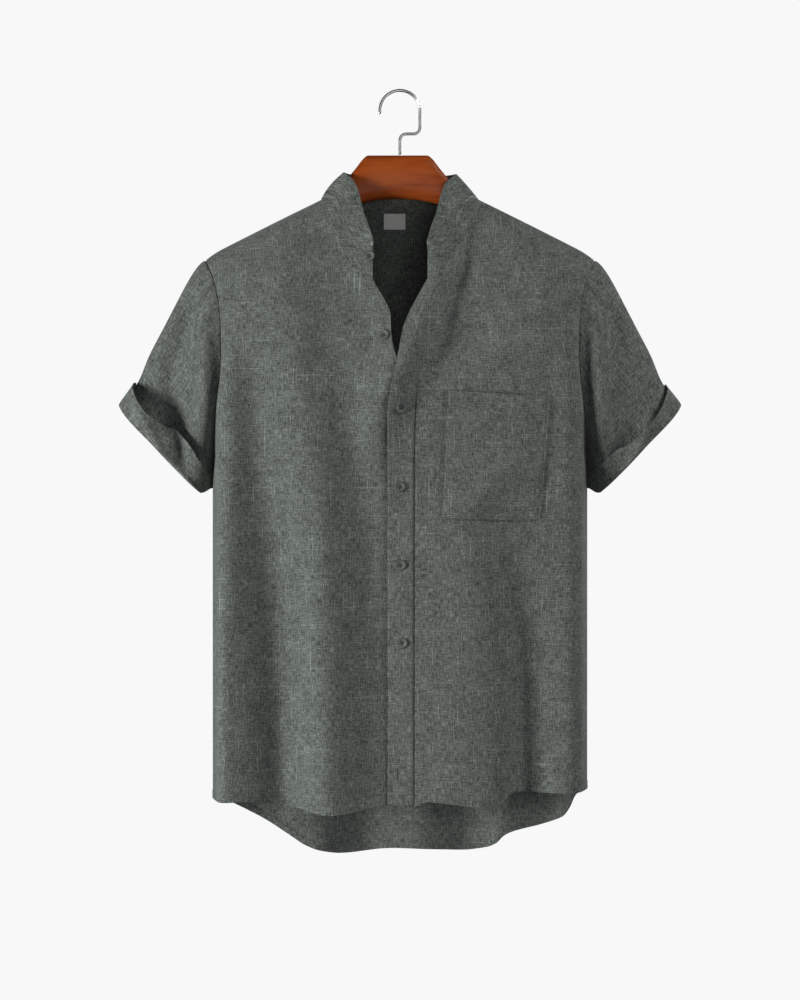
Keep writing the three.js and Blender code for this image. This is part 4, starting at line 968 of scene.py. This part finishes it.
def button(name, point, normal, turned, finish, sewing):
    """A dished button with a rounded rim and four holes, sewn on with crossed threads."""
    b, radius = BUTTON, BUTTON.radius
    rings, around = BUTTON_GRID.rings, BUTTON_GRID.around
    r = np.linspace(0, 1, rings) ** BUTTON_GRID.closer_out
    rr, aa = np.meshgrid(r, np.arange(around) / around * 2 * np.pi, indexing="ij")
    rim = bump((rr - b.rim_at) * radius, b.rim_wide) * b.rim_high
    dish = -b.dish * ramp(b.dish_from, b.dish_to, rr)
    top = b.face + rim + dish - b.rounded * ramp(b.round_from, 1.0, rr) ** 2
    x, y = radius * rr * np.cos(aa), radius * rr * np.sin(aa)
    for k in range(4):
        hx, hy = (b.hole_at * f((45 + 90 * k) * DEG) for f in (math.cos, math.sin))
        limits = b.hole_radius + b.hole_outer, b.hole_radius - b.hole_inner
        top = top - b.hole_deep * ramp(*limits, np.hypot(x - hx, y - hy))
    front = np.stack([x, y, top], -1)
    back = np.stack([x, y, b.back + b.back_rise * ramp(b.back_from, 1.0, rr) ** 2], -1)
    points = np.concatenate([back, front[::-1]]).reshape(-1, 3)
    spin = Vector((0, 0, 1)).rotation_difference(Vector(normal)).to_matrix()
    c, s = math.cos(turned), math.sin(turned)
    turn_by = np.array([[c, -s, 0], [s, c, 0], [0, 0, 1]])
    place = lambda local: (local @ turn_by.T) @ np.array(spin).T + point
    made = make_mesh(name, place(points), tube_faces(2 * rings, around, capped=False), finish, sharp=60)
    t = np.linspace(-1, 1, BUTTON_SEWING.points)
    reach = b.hole_at * BUTTON_SEWING.reach
    height = b.face - b.dish + BUTTON_SEWING.arch * (1 - t**2) - BUTTON_SEWING.dive * t**8
    cords = [(place(np.stack([t * reach, sign * t * reach, height], -1)), np.repeat([normal], len(t), axis=0))
             for sign in (-1, 1)]
    thread = stitches(name + "_thread", cords, sewing, 2.9, 0.0, 0.32, 0.0)
    return made, thread


def on_front(x, z, lift):
    """A point of the front's cloth and its normal."""
    grid_x = x + np.array([[-1.0, 0.0, 1.0]] * 3)
    grid_z = z + np.array([[-1.0] * 3, [0.0] * 3, [1.0] * 3])
    turn = turn_of(FRONT, grid_x, grid_z)
    points = body_point(FRONT, turn, grid_z)
    normal = grid_normals(points, np.stack([np.sin(turn), -np.cos(turn), 0.2 + 0 * turn], -1))[1, 1]
    return points[1, 1] + normal * lift, normal


def dip(x, z):
    """The under front sinks where the placket lies over it."""
    beside = x - read(FRONT_EDGE, z, "over")
    return -UNDERLAP.dip * ramp(UNDERLAP.starts, UNDERLAP.ends, beside)


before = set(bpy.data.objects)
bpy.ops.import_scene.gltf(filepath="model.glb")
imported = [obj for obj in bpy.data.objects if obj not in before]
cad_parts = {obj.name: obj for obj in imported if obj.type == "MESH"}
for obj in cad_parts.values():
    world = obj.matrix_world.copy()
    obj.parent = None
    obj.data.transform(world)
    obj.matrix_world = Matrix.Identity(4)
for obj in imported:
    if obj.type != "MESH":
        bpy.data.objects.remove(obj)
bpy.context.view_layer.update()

cloth = cloth_material("chambray", 0.0)
sleeve_cloth = cloth_material("chambray_sleeve", 4.3, 0.25)
seam_thread = thread_material("seam_thread", (0.055, 0.066, 0.058), (0.16, 0.18, 0.165))
hole_thread = thread_material("hole_thread", (0.030, 0.038, 0.033), (0.075, 0.088, 0.080))

grids = {}


def add(obj, slot=None, *nodes):
    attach(obj, "root")
    if nodes:
        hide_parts(*nodes)


def build_body():
    """The fronts, the back and the placket, each with its sewn edges."""
    front_u = spaced(*FINE.front, [FRONT_CORNER])
    back_u = spaced(*FINE.back, [BACK_CORNER, 0.5, 1 - BACK_CORNER])
    placket_u = spaced(*FINE.placket, [0.5])
    panels = {
        "front_right": (FRONT, front_grid(LEFT, "under", front_u), ("top", "start"), dip),
        "front_left": (FRONT, front_grid(RIGHT, "seam", front_u), ("top", "start", "end"), None),
        "back": (BACK, back_grid(back_u), ("top", "start", "end"), None),
        "placket": (FRONT, placket_grid(placket_u), ("low", "start", "end"), placket_lift),
    }
    for name, (half, (turn, z), edges, lift) in panels.items():
        wall = WALL.placket if name == "placket" else WALL.panel
        piece, *grids[name] = body_panel(name + "_cloth", half, turn, z, wall, cloth, edges, lift, True)
        add(piece, "cloth", name)


def build_collar():
    along, rise = np.meshgrid(np.linspace(-1, 1, COLUMNS.collar), COLLAR_ROWS)
    base = collar_point(along, rise)
    outward = np.stack([base[..., 0], base[..., 1], 0.3 * np.abs(base[..., 0])], -1)
    normal = grid_normals(base, outward)
    foot = ramp(COLLAR_FOOT.none, COLLAR_FOOT.full, rise)[..., None]
    outer = base + normal * COLLAR_FOOT.out * foot
    inner = outer - normal * (WALL.collar + COLLAR_FOOT.thick * foot)
    lie = COLLAR_THREADS
    across = lie.across_x * np.abs(base[..., 0]) + lie.across_y * base[..., 1]
    uv = np.stack([across, base[..., 2] + lie.slant * base[..., 0] + BOLT.collar], -1)
    grids["collar"] = [outer, inner]
    add(shell("collar_cloth", outer, inner, uv, cloth), "cloth", "collar")


def build_sleeve(side, word):
    """A sleeve and its turned up cuff."""
    around = COLUMNS.sleeve
    ring = np.arange(around) / around * 2 * np.pi - np.pi
    turn, along = np.meshgrid(ring, SLEEVE_ROWS)
    base = sleeve_point(side, turn, along)
    closed = np.concatenate([base[:, -2:], base, base[:, :2]], axis=1)
    normal = grid_normals(closed, closed - np.mean(base, axis=1, keepdims=True))[:, 2:-2]
    at_armhole = np.stack([0 * turn, -np.sin(turn), np.cos(turn)], -1)
    normal = unit(mix(at_armhole, normal, ramp(0, 0.1, along)[..., None]))
    outer = base + normal * tuck(base, ("low",))[..., None]
    inner = outer - normal * WALL.sleeve
    looped = np.concatenate([base, base[:, :1]], axis=1)
    u = edge_distance(looped, 1, False)
    middle = around // 2
    u = u - u[:, middle:middle + 1]
    uv = np.stack([u, SLEEVE.tilt_x * looped[..., 2] - SLEEVE.tilt_z * np.abs(looped[..., 0])], -1)
    add(shell(f"sleeve_{word}_cloth", outer, inner, uv, sleeve_cloth, ring=True), "cloth", "sleeve_" + word)

    turn, row = np.meshgrid(ring, CUFF_ROWS)
    outer, inner = (cuff_point(side, turn, face, row) for face in ("outer", "inner"))
    u, row = np.meshgrid(u[-1], CUFF_ROWS)
    uv = np.stack([u, BOLT.cuff + read(CUFF_BAND, row, "outer_up", "row")], -1)
    add(shell(f"cuff_{word}_cloth", outer, inner, uv, sleeve_cloth, ring=True), "cloth", "cuff_" + word)


def build_pocket():
    uu, vv = np.meshgrid(spaced(*FINE.pocket, [0.5]), POCKET_ROWS)
    corner = {key: np.array(value) for key, value in POCKET.items()}
    flat = mix(mix(corner["low_inner"], corner["low_outer"], uu[..., None]),
               mix(corner["top_inner"], corner["top_outer"], uu[..., None]), vv[..., None])
    x = flat[..., 0]
    z = flat[..., 1] - POCKET_SAG * 4 * uu * (1 - uu) * (1 - vv)
    wide = corner["low_outer"][0] - corner["low_inner"][0]
    tall = corner["top_inner"][1] - corner["low_inner"][1]

    def lift(x, z):
        """The pocket stands off the front, with a groove along its stitching and a double thick hem."""
        hem = POCKET_HEM.rise * ramp(-1, 1, (vv - (1 - POCKET_HEM.share)) / POCKET_HEM.soft)
        from_edge = np.minimum(np.minimum(uu, 1 - uu) * wide, vv * tall)
        groove = POCKET_STITCH.depth * bump(from_edge - STITCH.edge, POCKET_STITCH.reach)
        return POCKET_LIFT.height + hem + POCKET_LIFT.gape * vv**3 * 4 * uu * (1 - uu) - groove

    piece, *grids["pocket"] = body_panel(
        "pocket_cloth", FRONT, turn_of(FRONT, x, z), z, WALL.pocket, cloth, lift=lift)
    add(piece, "cloth", "pocket")


def build_label():
    """A ribbon on the inside of the back."""
    x, z = np.meshgrid(np.linspace(LABEL.left, LABEL.right, COLUMNS.label),
                       np.linspace(LABEL.low, LABEL.top, ROWS.label))
    inside = lambda x, z: -WALL.panel - LABEL.clear + 0 * x
    piece, *grids["label"] = body_panel(
        "label_ribbon", BACK, turn_of(BACK, x, z), z, WALL.label, label_material(), lift=inside)
    add(piece, "label", "label")


def build_buttons():
    at = np.array([[-(1 - COLLAR_BUTTON.run) - d for d in (-0.004, 0, 0.004)]] * 3)
    up = np.array([[COLLAR_BUTTON.rise + d] * 3 for d in (-0.05, 0, 0.05)])
    near = collar_point(at, up)
    normal = grid_normals(near, np.stack([near[..., 0], near[..., 1], 0 * near[..., 0]], -1))[1, 1]
    spots = [(near[1, 1] + normal * 0.3, normal), on_front(*UNDER_BUTTON, float(dip(*UNDER_BUTTON)) + 0.2)]
    spots += [on_front(x, z, PLACKET_LIFT.height + 0.1) for x, z in PLACKET_BUTTONS]
    resin = button_material()
    for k, (point, normal) in enumerate(spots):
        disc, thread = button(f"button_{k + 1}_disc", point, normal, BUTTON_TURNED * k, resin, hole_thread)
        add(disc, "button", f"button_{k + 1}")
        add(thread, "button")


ARMHOLE_ROWS = slice(SIDE_ROWS.hem_rows + SIDE_ROWS.below + 1, None)
PLACKET_ROWS = slice(0, ROWS.placket_sewn)
ALL_ROWS = slice(None)
# Lines of stitching: the grid's axis they cross, how far in, from its far edge, on which rows, and inside
SEAMS = {
    "front_right": [(0, STITCH.hem), (1, STITCH.armhole, False, ARMHOLE_ROWS)],
    "front_left": [(0, STITCH.hem), (1, STITCH.armhole, False, ARMHOLE_ROWS)],
    "back": [(0, STITCH.hem), (0, STITCH.hem, False, ALL_ROWS, True),
             (1, STITCH.armhole, False, ARMHOLE_ROWS), (1, STITCH.armhole, True, ARMHOLE_ROWS)],
    "placket": [(1, STITCH.edge, False, PLACKET_ROWS), (1, STITCH.edge, True, PLACKET_ROWS)],
    "pocket": [(1, STITCH.edge), (1, STITCH.edge, True), (0, STITCH.edge),
               (0, STITCH.pocket_hem, True)],
    "collar": [(0, STITCH.collar, True)],
    "label": [(axis, STITCH.label, far) for axis in (1, 0) for far in (False, True)],
}


def seam(piece, axis, at_mm, from_end=False, rows=ALL_ROWS, inside=False):
    """A line of stitching on a piece, at a distance from one of its edges."""
    outer, inner = grids[piece]
    normal = unit(outer - inner)
    if inside:
        return grid_line(inner, -normal, axis, at_mm, from_end)
    return grid_line(outer[rows], normal[rows], axis, at_mm, from_end)


def build_sewing():
    """The seams' stitches, and a buttonhole at each button of the placket and below them."""
    for piece, lines in SEAMS.items():
        add(stitches(piece + "_stitches", [seam(piece, *line) for line in lines], seam_thread))
    beside, steps = BUTTONHOLE.beside, np.linspace(-1, 1, BUTTONHOLE.points) * BUTTONHOLE.half_tall
    for k, (x, z) in enumerate([*PLACKET_BUTTONS, LAST_HOLE]):
        cords = []
        for aside in (-beside, beside):
            spots = [on_front(x + aside, z + step, PLACKET_LIFT.height) for step in steps]
            cords.append((np.array([p for p, _ in spots]), np.array([n for _, n in spots])))
        add(stitches(f"buttonhole_{k + 1}", cords, hole_thread, 2.0, -0.2, 0.42, 0.02))


def tube(name, rings, finish):
    return make_mesh(name, rings.reshape(-1, 3), tube_faces(*rings.shape[:2]), finish, sharp=40)


def build_hanger_bar():
    arm, end_x = HANGER_ARM, HANGER_ARM.end_x
    first_x = HANGER["x"][-1]
    share = (np.arange(arm.steps) + 1) / arm.steps
    arm_x = mix(first_x, end_x, share)
    arm_top = shoulder_line(arm_x + abs(HANGER_MIDDLE)) - arm.below_shoulder
    arm_rows = {
        "x": arm_x,
        "top": arm_top,
        "low": arm_top - mix(arm.tall_neck, arm.tall_tip, share),
        "half_depth": mix(HANGER["half_depth"][-1], arm.half_depth, np.minimum(1, 2 * share)),
    }
    bar = {key: [*HANGER[key], *arm_rows[key]] for key in HANGER}
    rounding = end_x - arm.round_from
    tip = np.linspace(0, 1, ROWS.hanger_end)[1:] * np.pi / 2
    straight = np.linspace(0, arm.round_from, ROWS.hanger_half)
    half_x = np.concatenate([straight, end_x - rounding * np.cos(tip)])
    bar_x = np.concatenate([-half_x[:0:-1], half_x])
    around, along = np.meshgrid(np.arange(COLUMNS.hanger) / COLUMNS.hanger * 2 * np.pi, bar_x)
    top, low, half_depth = (read(bar, np.abs(along), key, "x") for key in ("top", "low", "half_depth"))
    over = np.clip((np.abs(along) - arm.round_from) / (rounding + 0.05), 0, 1)
    close = np.sqrt(np.clip(1 - over**2, 0, 1))
    s, c = np.sin(around), np.cos(around)
    y = half_depth * close * np.sign(s) * np.abs(s) ** HANGER_ROUND
    z = (top + low) / 2 + (top - low) / 2 * close * np.sign(c) * np.abs(c) ** HANGER_ROUND
    rings = np.stack([along + HANGER_MIDDLE, y, z], -1)
    add(tube("hanger_bar_wood", rings, wood_material()), "wood", "hanger_bar")


def hook_path():
    """Centre line of the bent wire, from its foot to its tip."""
    h = HOOK
    bend, centre_z = h.bend, h.wire - h.loop
    quarter = np.linspace(0, np.pi / 2, ROWS.hook_bend)
    half = np.linspace(0, np.pi, ROWS.hook_loop)
    first = [(bend - bend * math.cos(a), h.elbow_z - bend + bend * math.sin(a)) for a in quarter]
    second = [(h.side_x - bend + bend * math.sin(a), h.elbow_z + bend - bend * math.cos(a)) for a in quarter]
    loop = [(h.loop * math.cos(a), centre_z + h.loop * math.sin(a)) for a in half]
    line = [(0, h.foot_z), *first, *second, *loop, (-h.loop, centre_z - h.tip_drop)]
    return np.array([(x, 0, z) for x, z in line])


def build_hook():
    line = hook_path()
    run = line_run(line)
    even = np.linspace(0, run[-1], ROWS.hook)
    line = at_run(line, run, even).T
    ahead = unit(np.gradient(line, axis=0))
    aside = np.stack([ahead[:, 2], 0 * ahead[:, 0], -ahead[:, 0]], -1)
    past = np.clip((even - run[-1] + HOOK.tip) / HOOK.wire, 0, 1)
    radius = HOOK.wire * np.sqrt(np.clip(1 - past**2, 0.02, 1))
    a = np.arange(COLUMNS.hook) / COLUMNS.hook * 2 * np.pi
    across = aside[:, None] * np.cos(a)[None, :, None] + np.array([0, 1, 0]) * np.sin(a)[None, :, None]
    rings = line[:, None] + radius[:, None, None] * across
    add(tube("hanger_hook_steel", rings, steel_material()), "steel", "hanger_hook")


def build_sweep():
    """A floor and backdrop that show one even pale grey from their inside, and nothing from behind."""
    shade = SWEEP.shade
    paint, tree, shader = material("sweep_paint", {
        "Base Color": (0, 0, 0, 1), "Specular IOR Level": 0.0,
        "Emission Color": (shade, shade, shade, 1), "Emission Strength": 1.0})
    behind = node(tree, "NewGeometry").outputs["Backfacing"]
    clear = node(tree, "BsdfTransparent").outputs[0]
    chosen = node(tree, "MixShader", {0: behind, 1: shader.outputs[0], 2: clear})
    feed(tree.nodes["Material Output"], 0, chosen.outputs[0])
    bend, floor_z, back_y = SWEEP.bend, SWEEP.floor_z, SWEEP.back_y
    path = [(SWEEP.front_y, floor_z), (back_y - bend, floor_z)]
    path += [(back_y - bend + bend * math.sin(a), floor_z + bend - bend * math.cos(a))
             for a in np.linspace(0.1, 1.5, 10)]
    path += [(back_y, SWEEP.top_z)]
    wide = SWEEP.half_width
    points = [(x / MM, y / MM, z / MM) for y, z in path for x in (-wide, wide)]
    faces = [(2 * k, 2 * k + 1, 2 * k + 3, 2 * k + 2) for k in range(len(path) - 1)]
    sweep = make_mesh("sweep", points, faces, paint, sharp=80)
    sweep.visible_diffuse = False
    sweep.visible_glossy = False


def area_light(name, where, aim, size, power):
    data = bpy.data.lights.new(name, "AREA")
    data.size = size
    data.energy = power
    light = bpy.data.objects.new(name, data)
    light.location = where
    light.rotation_euler = (Vector(aim) - Vector(where)).to_track_quat("-Z", "Y").to_euler()
    bpy.context.scene.collection.objects.link(light)
    return light


def light_scene():
    world = bpy.data.worlds.new("studio")
    bpy.context.scene.world = world
    world.use_nodes = True
    background = world.node_tree.nodes["Background"]
    background.inputs[0].default_value = (0.95, 0.97, 1.0, 1)
    background.inputs[1].default_value = 0.05
    for name, (where, size, power) in LIGHTS.items():
        light = area_light(name, where, (0, 0, CAMERA.aim_z), size, power)
        light.visible_camera = name != "behind"


def place_camera():
    data = bpy.data.cameras.new("camera")
    data.sensor_fit = "VERTICAL"
    data.sensor_height = CAMERA.sensor
    data.lens = CAMERA.sensor * CAMERA.distance / CAMERA.view_height
    camera = bpy.data.objects.new("camera", data)
    camera.location = (0, -CAMERA.distance, CAMERA.aim_z)
    camera.rotation_euler = (math.pi / 2, 0, 0)
    bpy.context.scene.collection.objects.link(camera)
    bpy.context.scene.camera = camera


build_body()
build_collar()
build_sleeve(LEFT, "right")
build_sleeve(RIGHT, "left")
build_pocket()
build_label()
build_buttons()
build_sewing()
build_hanger_bar()
build_hook()
build_sweep()
light_scene()
place_camera()
bpy.context.scene.view_settings.view_transform = "Standard"
